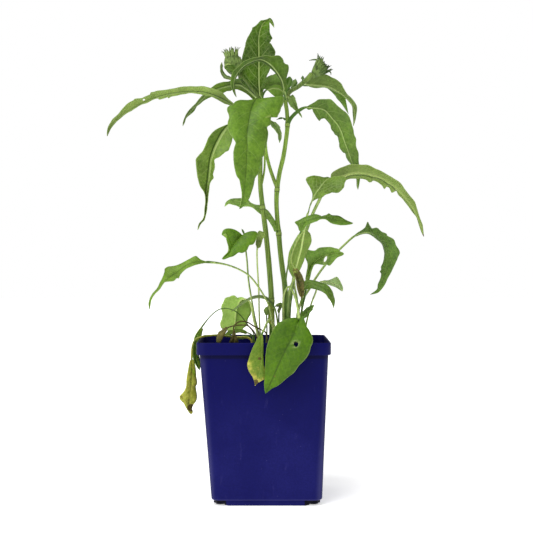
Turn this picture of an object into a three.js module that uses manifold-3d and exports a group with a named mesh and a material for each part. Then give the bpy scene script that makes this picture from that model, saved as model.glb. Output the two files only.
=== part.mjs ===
// A coneflower plant, Echinacea purpurea, before it opens: two stems with a bud each and about
// forty leaves, in a square blue plastic pot.
// Units are millimetres. +Z is up, -Y is the front, and the origin is the middle of the pot's
// foot, on the surface that it stands on.
import * as THREE from 'three';
import { mergeVertices } from 'three/addons/utils/BufferGeometryUtils.js';
import Module from 'manifold-3d';

const wasm = await Module();
wasm.setup();

// Driving dimensions
const POT_RIM = 115.5; // outer width across the lip
const POT_HEIGHT = 141;
const POT_BASE = 96; // outer width at the bottom edge
const POT_WALL = 1.3;
const FLOOR = 1.5; // thickness of the pot's floor
const FOOT_HEIGHT = 4.6; // the foot holds the pot's corners this far off the ground
const FOOT_SIDE = 67; // straight length of each side of the foot
const LIP_HEIGHT = 10.8;
const LIP_STEP = 2.3; // how far the lip stands out from the wall
const DRAIN_RADIUS = 4.5;
const BASE_MIDDLE = 0.4; // x of the pot's middle at its foot, and at its rim: it leans a little
const RIM_MIDDLE = -2.4;
const SOIL_TOP = 133;
const LEAF_THICKNESS = 0.8;
const KEEL = 0.5; // how much thicker the midrib is at the blade's base, on each side
const STALK_TAPER = 0.3; // share of its radius that a leaf stalk loses between seat and blade
const GAP = 0.3; // clearance between pieces that touch

// The plant is drawn as it looks from the front. A drawn point holds x, z and y, where x and z
// are measured on the upright plane through the pot's middle, as seen from a point 1 m in front
// of it, and y is how far the real point lies behind that plane.
const VIEW_DISTANCE = 1000;
const VIEW_HEIGHT = 206;

function place([x, z, y]) {
  const scale = 1 + y / VIEW_DISTANCE;
  return new THREE.Vector3(x * scale, y, VIEW_HEIGHT + (z - VIEW_HEIGHT) * scale);
}

// The drawn point of a real one.
function drawn(x, y, z) {
  const scale = 1 + y / VIEW_DISTANCE;
  return [x / scale, VIEW_HEIGHT + (z - VIEW_HEIGHT) / scale, y];
}

const TONES = {
  mid: 0x5a8c37,
  bright: 0x4f8f36,
  dark: 0x3f6f2a,
  pale: 0x7aa04d,
  light: 0x86b84e,
  yellow: 0xa9a43c,
  olive: 0x6f6a35,
  brown: 0x4a3324,
  mottled: 0x6b5a36,
  dry: 0x6e5a3a,
  stem: 0x7fa552,
};

// Stems, as drawn: [x, z, y, radius]. The first point is where the stem leaves the soil.
const STEMS = [
  {
    name: 'stem_left', foot: [5, -4],
    points: [
      [4.5, 175, -4, 2.4], [2.5, 204.5, -4, 2.4], [-0.5, 235.5, -4, 2.3], [-3.5, 259.5, -4, 2.2],
      [-5.5, 279.5, -4, 2.1], [-5.5, 306, -4, 2], [-5, 329.5, -4, 1.8], [-5.5, 354, -4, 1.8],
      [-9, 361.5, -3, 1.5], [-14, 367.5, -2, 1.3], [-20, 375, -1, 1.3], [-25.5, 380, -1, 1.4],
    ],
  },
  {
    name: 'stem_right', foot: [18.5, 8],
    points: [
      [16.5, 188.5, 8, 2.4], [14.5, 203, 8, 2.4], [12.5, 219, 8, 2.3], [11, 236, 8, 2.3],
      [10, 246, 8, 2.1], [9, 263.5, 8, 2.1], [9.5, 275, 8, 2.1], [12, 291.5, 8, 2],
      [15, 304, 8, 2], [17.5, 319.5, 8, 1.9], [19, 334, 8, 1.9], [18.5, 345.5, 8, 1.8],
      [17.5, 357, 8, 1.8], [21.5, 364, 8, 1.9], [28, 368, 9, 2], [33, 372, 9.5, 2],
      [37.5, 376, 10, 2.1], [41, 380, 10, 2.2],
    ],
  },
  {
    name: 'branch_centre', on: 'stem_right',
    points: [
      [9.5, 277, 8, 1.5], [6, 286, 7.5, 1.4], [2, 298.5, 7, 1.3], [-0.5, 311, 6.5, 1.3],
      [-1, 329, 6, 1.2], [-0.5, 347.5, 5.5, 1.1], [-0.5, 356, 5, 1.1],
    ],
  },
  {
    name: 'branch_thin', on: 'stem_left',
    points: [
      [-4.5, 279, -4, 0.9], [-2, 293, -1, 0.9], [-1.5, 307.5, 0, 0.9], [-2, 325, 0.5, 0.8],
      [-3.5, 340, 1, 0.8],
    ],
  },
];

// Buds: the middle of the head as drawn, the way it faces, and its outline as [radius, height].
const BUDS = [
  {
    name: 'bud_left', on: 'stem_left', tone: 'pale', middle: [-30.3, 388.9, -1], facing: [-0.14, -0.1, 1],
    outline: [
      [0, -11], [2.2, -10.4], [4.4, -7.8], [6.4, -4.6], [7.6, -0.6], [7.2, 4], [6, 7.6],
      [6.4, 10.5], [4.8, 14], [2.5, 15.4], [0, 15.4],
    ],
  },
  {
    name: 'bud_right', on: 'stem_right', tone: 'dark', middle: [48.8, 385.3, 10], facing: [0.72, -0.12, 0.69],
    outline: [
      [0, -10], [2.4, -9.6], [4, -6.4], [6.2, -2], [7, 2], [6.6, 6], [4, 8.6], [0, 8.6],
    ],
  },
];

// Leaves. stalk and rib are drawn points [x, z, y] from the seat to the tip, edgeA and edgeB the
// two margins [x, z] between the blade's base and its tip, and lean how far each margin stands
// behind the rib at its widest. A leaf grows from the soil at foot [x, y] or from a stem.
const LEAVES = [
  {
    name: 'leaf_long_left', on: 'stem_left', upperSeen: false, tone: 'pale', radius: 1.1,
    stalk: [[-5, 337.5, -4], [-13, 341.5, -7], [-21, 345.5, -9]],
    rib: [
      [-34, 355.5, -11], [-41, 359, -12], [-50, 362.5, -13], [-66.5, 364, -15], [-83, 363, -17],
      [-96, 360, -17.5], [-107, 355, -18], [-118, 350, -18], [-128.5, 343.5, -17], [-138.5, 335, -15],
      [-144, 324, -14],
    ],
    edgeA: [
      [-32, 354.5], [-40, 362], [-46.5, 367], [-55.5, 368.5], [-72, 368], [-83, 366.5],
      [-103.5, 363.5], [-112.5, 358], [-119, 357.5], [-128.5, 349], [-137.5, 340], [-142.5, 332.5],
    ],
    edgeB: [
      [-33.5, 351.5], [-44.5, 357.5], [-57.5, 361.5], [-72, 362.5], [-83, 360], [-94, 357.5],
      [-104.5, 353.5], [-111.5, 351], [-121, 346.5], [-128.5, 342.5], [-137.5, 335], [-142.5, 328.5],
    ],
    lean: [-9, 8],
  },
  {
    name: 'leaf_back_left', on: 'stem_left', upperSeen: false, tone: 'dark', radius: 1.0,
    stalk: [[-5.5, 351, -4], [-9, 355.5, -1], [-12.5, 360.5, 5]],
    rib: [
      [-16, 365, 9], [-23, 369.5, 14], [-33, 369.5, 18], [-43, 367, 22], [-52, 362, 26],
      [-60, 355.5, 29], [-68, 347, 31], [-72.5, 339.5, 32], [-75.5, 332.5, 32],
    ],
    edgeA: [
      [-17.5, 370.5], [-24, 373.5], [-33, 373], [-42, 372], [-48.5, 368], [-57.5, 360.5], [-63, 354.5],
      [-69.5, 348], [-73.5, 341],
    ],
    edgeB: [
      [-17.5, 362], [-24, 365], [-35, 365], [-42, 363], [-50.5, 359], [-57.5, 354], [-63, 350],
      [-68, 343], [-72.5, 337],
    ],
    lean: [-5, 7],
  },
  {
    name: 'leaf_top_upright', on: 'stem_left', upperSeen: true, tone: 'mid', radius: 1.1,
    stalk: [[-5.5, 355.5, -4], [-5, 359, 2], [-6, 364.5, 6]],
    rib: [
      [-7, 380, 11], [-7, 397.5, 14], [-6.5, 414.5, 15], [-3.5, 424, 12], [0, 428.5, 10],
      [3.5, 428.5, 8], [7, 422, 5],
    ],
    edgeA: [
      [-13, 367], [-21, 375.5], [-25, 382.5], [-23.5, 390.5], [-18.5, 409], [-15, 417], [-8.5, 426.5],
      [-0.5, 430.5], [4.5, 430],
    ],
    edgeB: [
      [-4, 367], [-0.5, 376], [3, 386], [7.5, 396], [5.5, 405], [4, 413.5], [2, 420.5], [2.5, 424],
    ],
    lean: [-3, -5],
  },
  {
    name: 'leaf_arch_over', on: 'stem_right', upperSeen: true, tone: 'dark', radius: 1.1,
    stalk: [[17.5, 356.5, 8], [16.5, 360, 4], [16, 363.5, 0]],
    rib: [
      [12.5, 375, -8], [8, 383, -12], [2.5, 389.5, -15], [-5, 393.5, -18], [-12, 392.5, -20],
      [-20.5, 388, -22], [-27, 381.5, -24], [-30.5, 375, -25], [-30.5, 367, -24], [-27.5, 359, -22],
    ],
    edgeA: [
      [13.5, 367], [10, 375.5], [5.5, 382.5], [1, 388], [-5, 392], [-12, 390.5], [-19, 386],
      [-25.5, 380], [-28.5, 374], [-29, 367],
    ],
    edgeB: [
      [19, 371], [19.5, 383.5], [16.5, 390], [10, 397], [2.5, 398.5], [-5, 397], [-14, 395],
      [-22, 390.5], [-29, 383], [-32.5, 374.5], [-32.5, 367],
    ],
    lean: [5, -7],
  },
  {
    name: 'leaf_front_big', on: 'stem_left', upperSeen: true, tone: 'mid', radius: 1.2,
    stalk: [[-5.5, 352, -4], [-7, 355.5, -8], [-9, 357.5, -13]],
    rib: [
      [-11.5, 355, -22], [-14, 347.5, -32], [-16, 337.5, -40], [-17.5, 315.5, -50], [-18, 294, -55],
      [-20, 272.5, -56], [-24.5, 258.5, -54],
    ],
    edgeA: [
      [-18.5, 357.5], [-29.5, 355], [-35, 350], [-33.5, 340], [-35, 331], [-29, 316.5], [-29.5, 305],
      [-27, 288.5], [-23, 278.5], [-22.5, 267],
    ],
    edgeB: [
      [-0.5, 358], [15.5, 360], [13.5, 351], [8.5, 340.5], [4, 342.5], [1.5, 331], [1, 320], [-3, 306],
      [-7.5, 289.5], [-11.5, 282.5], [-14.5, 273.5], [-20, 263.5],
    ],
    lean: [-5, 9],
  },
  {
    name: 'leaf_left_hanging', on: 'stem_left', upperSeen: true, tone: 'mid', radius: 1.0,
    stalk: [[-4.5, 328.5, -4], [-13, 334, -9], [-23, 337, -13], [-30.5, 336, -16]],
    rib: [
      [-37, 330, -18], [-43.5, 320, -20], [-49, 308.5, -22], [-51, 294, -22], [-53.5, 280.5, -21],
      [-54, 268.5, -20], [-55.5, 257, -19], [-58.5, 247, -18], [-62, 239, -17],
    ],
    edgeA: [
      [-35.5, 334], [-44, 331], [-53.5, 319.5], [-56.5, 311], [-63, 304], [-63, 294], [-62, 285],
      [-58.5, 277], [-55.5, 268], [-57, 257], [-59.5, 248],
    ],
    edgeB: [
      [-30, 332], [-32, 320], [-36, 310], [-45.5, 301.5], [-48, 289.5], [-49.5, 284], [-52, 278],
      [-53, 268], [-54.5, 257], [-57, 247],
    ],
    lean: [-7, -5],
  },
  {
    name: 'leaf_right_upper', on: 'stem_right', upperSeen: true, tone: 'mid', radius: 1.1,
    stalk: [[19, 334.5, 8], [22.5, 340.5, 6], [28.5, 346, 4], [35, 349.5, 2]],
    rib: [
      [44.5, 350, -1], [51, 347.5, -4], [58.5, 340.5, -8], [63.5, 333, -11], [71.5, 318, -15],
      [76, 306, -17], [79.5, 293, -18], [82, 276, -18],
    ],
    edgeA: [
      [41, 352], [47, 356.5], [59, 357.5], [68, 347.5], [76.5, 339], [79.5, 327.5], [83, 311],
      [84.5, 297], [83.5, 285],
    ],
    edgeB: [
      [42, 345.5], [47, 338.5], [53, 339.5], [58.5, 332.5], [63.5, 323], [67.5, 313], [72.5, 303],
      [77, 295], [80.5, 285],
    ],
    lean: [-6, 5],
  },
  {
    name: 'leaf_right_top', on: 'stem_right', upperSeen: false, tone: 'mid', radius: 0.9,
    stalk: [[33.5, 371.5, 9], [35.5, 371, 13], [38, 370.5, 16]],
    rib: [
      [48.5, 369.5, 19], [57, 367, 20], [64.5, 363.5, 21], [71.5, 357.5, 22], [77, 350, 22],
      [79.5, 342, 22], [78, 333, 22],
    ],
    edgeA: [
      [41.5, 377.5], [48.5, 379], [55.5, 378.5], [63.5, 375], [70, 367], [75.5, 359.5], [80.5, 352],
      [81, 343.5],
    ],
    edgeB: [[41, 367], [49, 366.5], [57, 365], [63.5, 361], [70, 355.5], [75, 348.5], [77.5, 341]],
    lean: [-5, 6],
  },
  {
    name: 'leaf_right_top_small', on: 'stem_right', upperSeen: true, tone: 'dark', radius: 0.7,
    stalk: [[30, 369, 9], [35.5, 367, 22], [45.5, 368.5, 30], [54.5, 366.5, 34]],
    rib: [[62, 361, 35], [67, 355.5, 35], [70.5, 350, 34], [74, 343.5, 33]],
    edgeA: [[60, 358.5], [64.5, 353.5], [69, 348.5]],
    edgeB: [[64.5, 363.5], [69.5, 358.5], [72.5, 352]],
    lean: [3, -3],
  },
  {
    name: 'leaf_junction_hanging', on: 'stem_right', upperSeen: true, tone: 'dark', radius: 0.7,
    stalk: [[18, 359, 8], [20, 361.5, 13], [21, 359.5, 17]],
    rib: [[23.5, 354.5, 19], [26.5, 349.5, 20], [30, 345.5, 20], [32, 340, 19]],
    edgeA: [[20, 356.5], [22, 351], [25.5, 347], [29, 343.5]],
    edgeB: [[24.5, 358.5], [27.5, 354], [30, 349.5], [32, 345]],
    lean: [-2, -2],
  },
  {
    name: 'leaf_centre_back', on: 'branch_centre', upperSeen: true, tone: 'mid', radius: 0.8,
    stalk: [[-0.5, 353, 3], [-1, 359, 8], [0, 364.5, 14]],
    rib: [[2.5, 368.5, 18], [7, 370, 21], [11.5, 367.5, 23], [16, 362.5, 24]],
    edgeA: [[-2, 371], [0.5, 376.5], [6, 379.5], [11.5, 378], [16, 371.5]],
    edgeB: [[1.5, 363.5], [5, 362], [9.5, 361], [13, 360.5]],
    lean: [-3, -3],
  },
  {
    name: 'leaf_small_hanging', on: 'branch_thin', upperSeen: true, tone: 'mid', radius: 0.7,
    stalk: [[-3.5, 339, 1], [-1, 341, 0], [2, 339.5, 0.5]],
    rib: [[5, 336, 1], [8.5, 331, 1.5], [11.5, 325, 2], [11.5, 317.5, 2]],
    edgeA: [[2.5, 334], [5.5, 330], [8.5, 325], [10, 320.5]],
    edgeB: [[4.5, 338.5], [9.5, 336], [12.5, 330.5], [14, 324]],
    lean: [-2, -2],
  },
  {
    name: 'leaf_mid_left', on: 'stem_right', upperSeen: true, tone: 'mid', radius: 0.9,
    stalk: [[11.5, 234.5, 8], [9, 240.5, 7], [7, 245.5, 6]],
    rib: [
      [2.5, 251.5, 6], [-4, 257, 6], [-12, 260.5, 3], [-19.5, 263.5, -1], [-27.5, 264, -5],
      [-34, 263, -8], [-38, 260, -10],
    ],
    edgeA: [[4, 254], [-2.5, 261], [-11.5, 264.5], [-18.5, 267], [-26.5, 268], [-34, 266]],
    edgeB: [[4.5, 247], [-1.5, 251], [-10.5, 255.5], [-18.5, 259.5], [-26.5, 261], [-33, 261]],
    lean: [5, -5],
  },
  {
    name: 'leaf_folded_left', foot: [-6, -10], upperSeen: true, tone: 'mid', radius: 0.9,
    stalk: [
      [-7, 143, -11], [-10.5, 159.5, -17], [-13, 174, -22], [-15.5, 189.5, -24], [-16.5, 198.5, -25],
      [-17.5, 212, -25], [-19, 222.5, -24.5], [-21, 233, -25],
    ],
    rib: [
      [-25.5, 231, -28], [-29.5, 226.5, -31], [-33.5, 221, -33], [-37, 216, -34], [-40, 212.5, -35],
    ],
    edgeA: [
      [-16, 236], [-8.5, 237.5], [-1.5, 236.5], [-3, 231.5], [-7, 227.5], [-12, 225], [-17.5, 221],
      [-23, 218], [-29, 215.5], [-35, 214],
    ],
    edgeB: [
      [-23.5, 236], [-28.5, 239], [-34, 240.5], [-39, 239], [-37, 235.5], [-36, 229], [-34.5, 222.5],
      [-38.5, 216.5],
    ],
    lean: [-2, -3],
  },
  {
    name: 'leaf_curled_left', foot: [-4, -5], upperSeen: false, tone: 'pale', radius: 0.7,
    stalk: [[-6, 146, -6], [-6.5, 165, -8], [-7, 184.5, -10], [-8.5, 210, -12], [-8.5, 222, -13]],
    rib: [[-7.5, 226, -13], [-7, 229.5, -13], [-5, 233.5, -14], [-2.5, 236.5, -15]],
    edgeA: [[-10, 224.5], [-9, 230], [-8.5, 234.5], [-6, 237.5]],
    edgeB: [[-5.5, 224], [-4, 228], [-1.5, 231.5], [-0.5, 235]],
    lean: [-2, -2],
  },
  {
    name: 'leaf_left_arch_lower', foot: [8, -13], upperSeen: true, tone: 'mid', radius: 1.15,
    stalk: [
      [6.5, 144, -15], [4.5, 159.5, -20], [1.5, 171, -25], [-2.5, 179.5, -27.5], [-7.5, 187.5, -30],
      [-16, 197, -32], [-23, 201.5, -33.5], [-30.5, 205.5, -34.5], [-37.5, 207.5, -35.5],
      [-45.5, 209, -37], [-53.5, 210, -38], [-59.5, 210, -39],
    ],
    rib: [
      [-69, 208, -41], [-78, 203, -43], [-86, 197.5, -45], [-91.5, 192.5, -46], [-98, 184.5, -47],
      [-103.5, 177.5, -47], [-106, 167.5, -46],
    ],
    edgeA: [
      [-61.5, 212], [-64, 215.5], [-71, 211.5], [-81, 206.5], [-89, 205.5], [-92, 203], [-94, 196.5],
      [-99, 185.5], [-104.5, 178.5],
    ],
    edgeB: [
      [-63.5, 207.5], [-70, 205.5], [-75.5, 201.5], [-79, 195.5], [-84.5, 192.5], [-90.5, 191.5],
      [-95.5, 186], [-100, 180], [-104.5, 173],
    ],
    lean: [5, -6],
  },
  {
    name: 'leaf_round_pale', foot: [-8, 2], upperSeen: false, tone: 'light', radius: 0.9,
    stalk: [[-8.5, 147, 4], [-11.5, 156.5, 8], [-13, 166.5, 12], [-15.5, 174.5, 15], [-19, 176.5, 16]],
    rib: [[-22.5, 175.5, 17], [-25, 172, 18], [-27, 166.5, 18], [-28, 157.5, 18], [-29, 147, 16]],
    edgeA: [
      [-23.5, 178.5], [-30.5, 179.5], [-36, 178], [-40, 172], [-41, 166.5], [-41, 157.5],
      [-38.5, 149.5], [-34, 147],
    ],
    edgeB: [[-16.5, 176], [-14, 170.5], [-14, 165], [-16.5, 158.5], [-18, 152], [-23, 147.5]],
    lean: [4, 4],
  },
  {
    name: 'leaf_over_left_rim', foot: [-10.5, -7], upperSeen: true, tone: 'mid', radius: 0.8,
    stalk: [
      [-11.5, 146, -9], [-16, 152, -10], [-19.5, 157, -11], [-24.5, 163, -11], [-29.5, 166.5, -11],
      [-35.5, 168, -10], [-40.5, 168, -9], [-44, 166.5, -8], [-49.5, 162, -6], [-54.5, 156.5, -5],
      [-59, 151, -4],
    ],
    rib: [[-62, 146, -3], [-64, 138.5, -2], [-64.5, 130.5, -1], [-63.5, 121.5, 0], [-60.5, 112.5, 2]],
    edgeA: [[-62.5, 148], [-66, 141.5], [-67, 132.5], [-66, 121.5]],
    edgeB: [[-60.5, 144.5], [-62, 138], [-62, 130.5], [-61.5, 121.5]],
    lean: [-5, 6],
  },
  {
    name: 'leaf_yellow_left', foot: [-11.5, -14], upperSeen: true, tone: 'yellow', radius: 0.8,
    stalk: [
      [-15, 141, -17], [-28.5, 142.5, -19], [-37.5, 143.5, -21], [-44.5, 144, -23], [-53, 143.5, -25],
      [-59, 142.5, -26], [-64.5, 139.5, -27], [-67, 133.5, -27], [-67.5, 122.5, -28],
    ],
    rib: [
      [-67, 114.5, -29], [-68, 105.5, -30], [-68.5, 96, -31], [-69.5, 87, -31], [-69.5, 80, -30],
      [-68, 72.5, -28],
    ],
    edgeA: [[-70.5, 115], [-72, 105.5], [-73.5, 96], [-77.5, 88], [-74, 81.5], [-70, 75.5]],
    edgeB: [[-64.5, 116], [-64, 107], [-63, 100], [-64, 91.5], [-64.5, 83.5], [-67, 77.5]],
    lean: [-4, 4],
  },
  {
    name: 'leaf_front_yellowing', foot: [5, -19], upperSeen: true, tone: 'yellow', radius: 0.9,
    stalk: [
      [7, 148.5, -21], [6, 155.5, -24], [3.5, 158, -29], [0.5, 155, -40], [-2.5, 149, -54],
      [-4, 145, -60],
    ],
    rib: [[-6, 139.5, -62.5], [-8, 131.5, -63.5], [-9, 120.5, -63.5], [-9, 110, -63], [-10, 99.5, -62]],
    edgeA: [[-8, 141.5], [-13, 132.5], [-16.5, 123], [-17, 116], [-14.5, 108], [-12, 102.5]],
    edgeB: [[-3, 138.5], [-2.5, 127], [-2, 115], [-3, 106], [-7.5, 101]],
    lean: [-1.5, 1.5],
  },
  {
    name: 'leaf_front_hole', foot: [14.5, -8], upperSeen: true, tone: 'bright', radius: 1.2,
    stalk: [
      [14.5, 148.5, -10], [14.5, 172, -15], [15.5, 181.5, -18], [17.5, 186, -21], [21, 188.5, -25],
      [24, 184, -32], [26.5, 177.5, -38], [28.5, 166, -50], [29.5, 157.5, -58],
    ],
    rib: [
      [27, 150, -63], [22.5, 141.5, -66], [18, 132.5, -67.5], [12.5, 121, -68], [7.5, 107, -67],
      [-1, 91.5, -65],
    ],
    edgeA: [
      [26, 160], [17.5, 158.5], [9.5, 154.5], [4, 145], [0, 133.5], [-1, 121.5], [-1.5, 110.5],
      [-2.5, 99],
    ],
    edgeB: [
      [32.5, 162], [35.5, 153], [41.5, 139.5], [38, 128], [30, 117], [19.5, 106.5], [10.5, 98.5],
      [3.5, 95],
    ],
    lean: [1.5, -2],
  },
  {
    name: 'leaf_long_right', foot: [24, 2], upperSeen: false, tone: 'pale', radius: 1.4,
    stalk: [
      [22, 148.5, 1.5], [22, 170.5, 0.5], [23.5, 186.5, -0.5], [27.5, 210, -3], [35.5, 236, -6],
      [41, 252, -10], [47, 264.5, -14], [53, 276, -18], [59, 283, -21],
    ],
    rib: [
      [65.5, 286, -24], [73, 287.5, -27], [83.5, 290, -30], [94, 288, -32], [106, 281, -33],
      [115, 274, -33], [125, 264, -32], [134, 252.5, -30], [141.5, 233.5, -27],
    ],
    edgeA: [
      [59.5, 288], [63, 292.5], [69, 295.5], [77, 297], [86.5, 297.5], [94.5, 296], [104.5, 290.5],
      [119, 281.5], [129, 269.5], [136, 258], [141, 242.5],
    ],
    edgeB: [
      [64.5, 282.5], [72, 284], [79, 285.5], [87.5, 285], [95.5, 282], [107, 276.5], [116, 271],
      [125, 262], [131.5, 253], [137.5, 242.5],
    ],
    lean: [-9, 8],
  },
  {
    name: 'leaf_right_folded', foot: [21, -5], upperSeen: false, tone: 'mid', radius: 1.0,
    stalk: [
      [23.5, 148.5, -6], [27.5, 175.5, -9], [31.5, 210, -14], [34, 233.5, -20], [36, 246, -25],
      [37.5, 255, -31], [39.5, 261.5, -36], [42.5, 268, -42],
    ],
    rib: [
      [47, 274.5, -47], [51, 280, -50], [55.5, 284.5, -51], [59, 286.5, -48.5], [63, 285.5, -43],
      [66.5, 281, -38],
    ],
    edgeA: [[40, 274], [36, 282.5], [36, 285.5], [43, 288], [50, 288.5], [57.5, 287.5], [63.5, 286]],
    edgeB: [[47.5, 267.5], [53.5, 270.5], [60, 272], [65.5, 273.5], [70, 278], [72, 286], [69.5, 283]],
    lean: [-2, -2],
  },
  {
    name: 'leaf_right_wavy', foot: [18.5, -9.5], upperSeen: true, tone: 'mid', radius: 0.7,
    stalk: [
      [18, 148.5, -9.5], [17, 175.5, -10], [17.5, 193, -14], [19, 203, -19], [21, 211, -23],
      [24, 222.5, -28], [28, 231.5, -32], [30.5, 239.5, -35],
    ],
    rib: [
      [34, 244.5, -37], [38.5, 247.5, -38], [43.5, 249.5, -38], [48.5, 250, -38], [54.5, 250, -39],
      [62, 248, -40], [71, 246.5, -40], [78, 245.5, -39],
    ],
    edgeA: [
      [27, 245], [31, 249], [37.5, 252], [45, 253.5], [48, 251], [56.5, 253], [65.5, 251.5],
      [72, 248.5],
    ],
    edgeB: [
      [31.5, 240.5], [35.5, 242.5], [41, 245.5], [48.5, 248.5], [53, 248.5], [59.5, 245],
      [65.5, 243.5], [72.5, 243.5],
    ],
    lean: [5, -5],
  },
  {
    name: 'leaf_right_upright', foot: [20, -13.5], upperSeen: false, tone: 'pale', radius: 1.0,
    stalk: [[20, 148.5, -14], [19, 170.5, -15], [21, 184, -16], [24.5, 194, -17.5]],
    rib: [
      [27.5, 204.5, -19], [28.5, 214.5, -21], [30.5, 224.5, -23], [32.5, 233.5, -24],
      [35.5, 238.5, -25],
    ],
    edgeA: [[23, 197.5], [19.5, 204.5], [20, 217.5], [24, 228], [29.5, 235.5]],
    edgeB: [[30, 202], [33.5, 210], [37.5, 220.5], [40.5, 229], [39.5, 236]],
    lean: [3, 3],
  },
  {
    name: 'leaf_dry_brown', foot: [29, -8.5], upperSeen: true, tone: 'dry', radius: 0.8,
    stalk: [[31, 148.5, -12], [33.5, 165, -20], [33.5, 174, -26], [32.5, 179, -29]],
    rib: [[30, 184, -30], [29, 191, -31], [27.5, 198.5, -31], [25.5, 203.5, -30]],
    edgeA: [[29, 181.5], [27, 188.5], [24.5, 195.5], [23.5, 201]],
    edgeB: [[33.5, 183], [34.5, 188], [32.5, 196], [29.5, 202]],
    lean: [-3, -3],
  },
  {
    name: 'leaf_right_lower', foot: [28, 6], upperSeen: true, tone: 'mid', radius: 0.9,
    stalk: [
      [29, 148.5, 5], [32.5, 170.5, 1], [35, 183, -2], [37, 196.5, -4], [38.5, 203, -6],
      [41.5, 207.5, -9],
    ],
    rib: [[46.5, 212, -12], [52, 215.5, -14], [58.5, 218, -17], [63.5, 218.5, -19], [70, 217.5, -20]],
    edgeA: [[38, 207], [35, 214.5], [36, 220.5], [44, 220.5], [50, 223.5], [58.5, 223.5], [64.5, 222]],
    edgeB: [[45.5, 208.5], [51.5, 208], [56.5, 207.5], [62, 213.5], [66.5, 215]],
    lean: [-4, -5],
  },
  {
    name: 'leaf_right_arch', foot: [31.5, 0], upperSeen: true, tone: 'dark', radius: 1.0,
    stalk: [
      [27.5, 159.5, 2], [31, 173, 3], [39, 186.5, 4], [43.5, 194, 4], [52.5, 206.5, 3], [66, 221, 1],
      [71, 226.5, 0], [79.5, 233.5, -2], [86.5, 238, -4],
    ],
    rib: [
      [93.5, 239.5, -6], [100.5, 237, -8], [108, 231.5, -10], [112.5, 224, -12], [113, 215.5, -13],
      [110, 203, -13], [104.5, 190, -12], [100.5, 184, -11], [94, 181, -9],
    ],
    edgeA: [
      [91, 244.5], [97, 241.5], [106, 237.5], [114.5, 230.5], [120.5, 218.5], [116.5, 209.5],
      [112.5, 200.5], [107.5, 191], [102, 183.5],
    ],
    edgeB: [
      [91.5, 236], [98, 232.5], [103.5, 227], [105.5, 220], [104.5, 210], [103.5, 200], [101, 191],
      [99.5, 184.5],
    ],
    lean: [-6, 6],
  },
  {
    name: 'leaf_right_droop', foot: [28, -15.5], upperSeen: true, tone: 'dark', radius: 0.8,
    stalk: [[28, 153, -16], [30, 171.5, -19], [32.5, 178.5, -21], [34, 185.5, -23]],
    rib: [
      [37.5, 190, -25], [44.5, 189.5, -28], [52.5, 186.5, -31], [57.5, 180, -33], [60.5, 168.5, -33],
    ],
    edgeA: [[34, 193], [40, 194], [46.5, 192.5], [54.5, 189], [60, 181], [61.5, 174]],
    edgeB: [[35.5, 183.5], [39.5, 186.5], [46.5, 185.5], [53, 181], [57.5, 175]],
    lean: [4, -4],
  },
  {
    name: 'leaf_right_low_pale', foot: [33, 8.5], upperSeen: false, tone: 'pale', radius: 0.8,
    stalk: [[35, 150.5, 9], [40, 171.5, 11], [44.5, 184, 12], [46, 189.5, 13], [49, 192, 13]],
    rib: [[53.5, 192, 14], [58.5, 191, 15], [63.5, 189.5, 16], [68.5, 183.5, 17]],
    edgeA: [[52, 194], [57.5, 194], [63, 196], [67.5, 191], [69, 186]],
    edgeB: [[53, 190], [57.5, 188.5], [62, 187.5], [66, 185.5]],
    lean: [-4, 4],
  },
  {
    name: 'leaf_small_low', foot: [24.5, -19], upperSeen: true, tone: 'dark', radius: 0.7,
    stalk: [[26, 146, -20], [29.5, 154, -21], [32, 159, -22]],
    rib: [[35, 163, -23], [39, 167, -24], [43.5, 171, -25]],
    edgeA: [[31.5, 164], [35, 168], [39.5, 171]],
    edgeB: [[35, 159.5], [39, 163], [41.5, 167]],
    lean: [-1.5, -1.5],
  },
  {
    name: 'leaf_narrow_arch', foot: [10, -6.5], upperSeen: true, tone: 'dark', radius: 0.8,
    stalk: [[10.5, 148.5, -9], [9, 161.5, -12], [6.5, 170.5, -14]],
    rib: [
      [2.5, 174.5, -15], [-1.5, 176.5, -15.5], [-5.5, 178, -16], [-10.5, 177.5, -16],
      [-15, 175.5, -16], [-20, 172.5, -16], [-25.5, 169.5, -17], [-31.5, 165, -18],
      [-39.5, 159.5, -18],
    ],
    edgeA: [
      [3.5, 176], [-1, 178.5], [-5.5, 180], [-11.5, 179.5], [-16, 177], [-22, 174], [-27.5, 170.5],
      [-33, 165.5],
    ],
    edgeB: [
      [3, 172], [-1.5, 174.5], [-6, 175.5], [-10, 175.5], [-14.5, 173], [-19.5, 170.5], [-24.5, 168],
      [-30.5, 164],
    ],
    lean: [3, -3],
  },
  {
    name: 'leaf_small_dark', foot: [12.5, -2.5], upperSeen: true, tone: 'dark', radius: 0.7,
    stalk: [[11.5, 148.5, -3.5], [11, 156.5, -4.5], [11.5, 162, -5.5]],
    rib: [[12, 168.5, -7], [12.5, 171.5, -8.5], [10, 171.5, -10.5], [7.5, 169.5, -11.5]],
    edgeA: [[10, 166.5], [10.5, 169.5], [9.5, 169.5]],
    edgeB: [[13, 167.5], [15, 172], [12, 173.5], [9, 172]],
    lean: [1, 1],
  },
  {
    name: 'leaf_curled_base', foot: [-1, -12], upperSeen: true, tone: 'dark', radius: 0.6,
    stalk: [[0.5, 148.5, -13], [0.5, 156, -14], [0, 161.5, -14.5]],
    rib: [[-0.5, 164.5, -15], [-0.5, 167, -15.5], [0.5, 169.5, -15]],
    edgeA: [[-2, 164], [-2, 167.5]],
    edgeB: [[2, 164], [2.5, 167]],
    lean: [1.5, 1.5],
  },
  {
    name: 'leaf_base_sheath', foot: [4, -9.5], upperSeen: true, tone: 'olive', radius: 1.0,
    stalk: [[4.5, 145, -10], [4, 153, -10]],
    rib: [[4, 160.5, -10.5], [3.5, 167.5, -10.5], [2.5, 174.5, -11]],
    edgeA: [[1.5, 155], [1.5, 164], [1.5, 171]],
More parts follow.
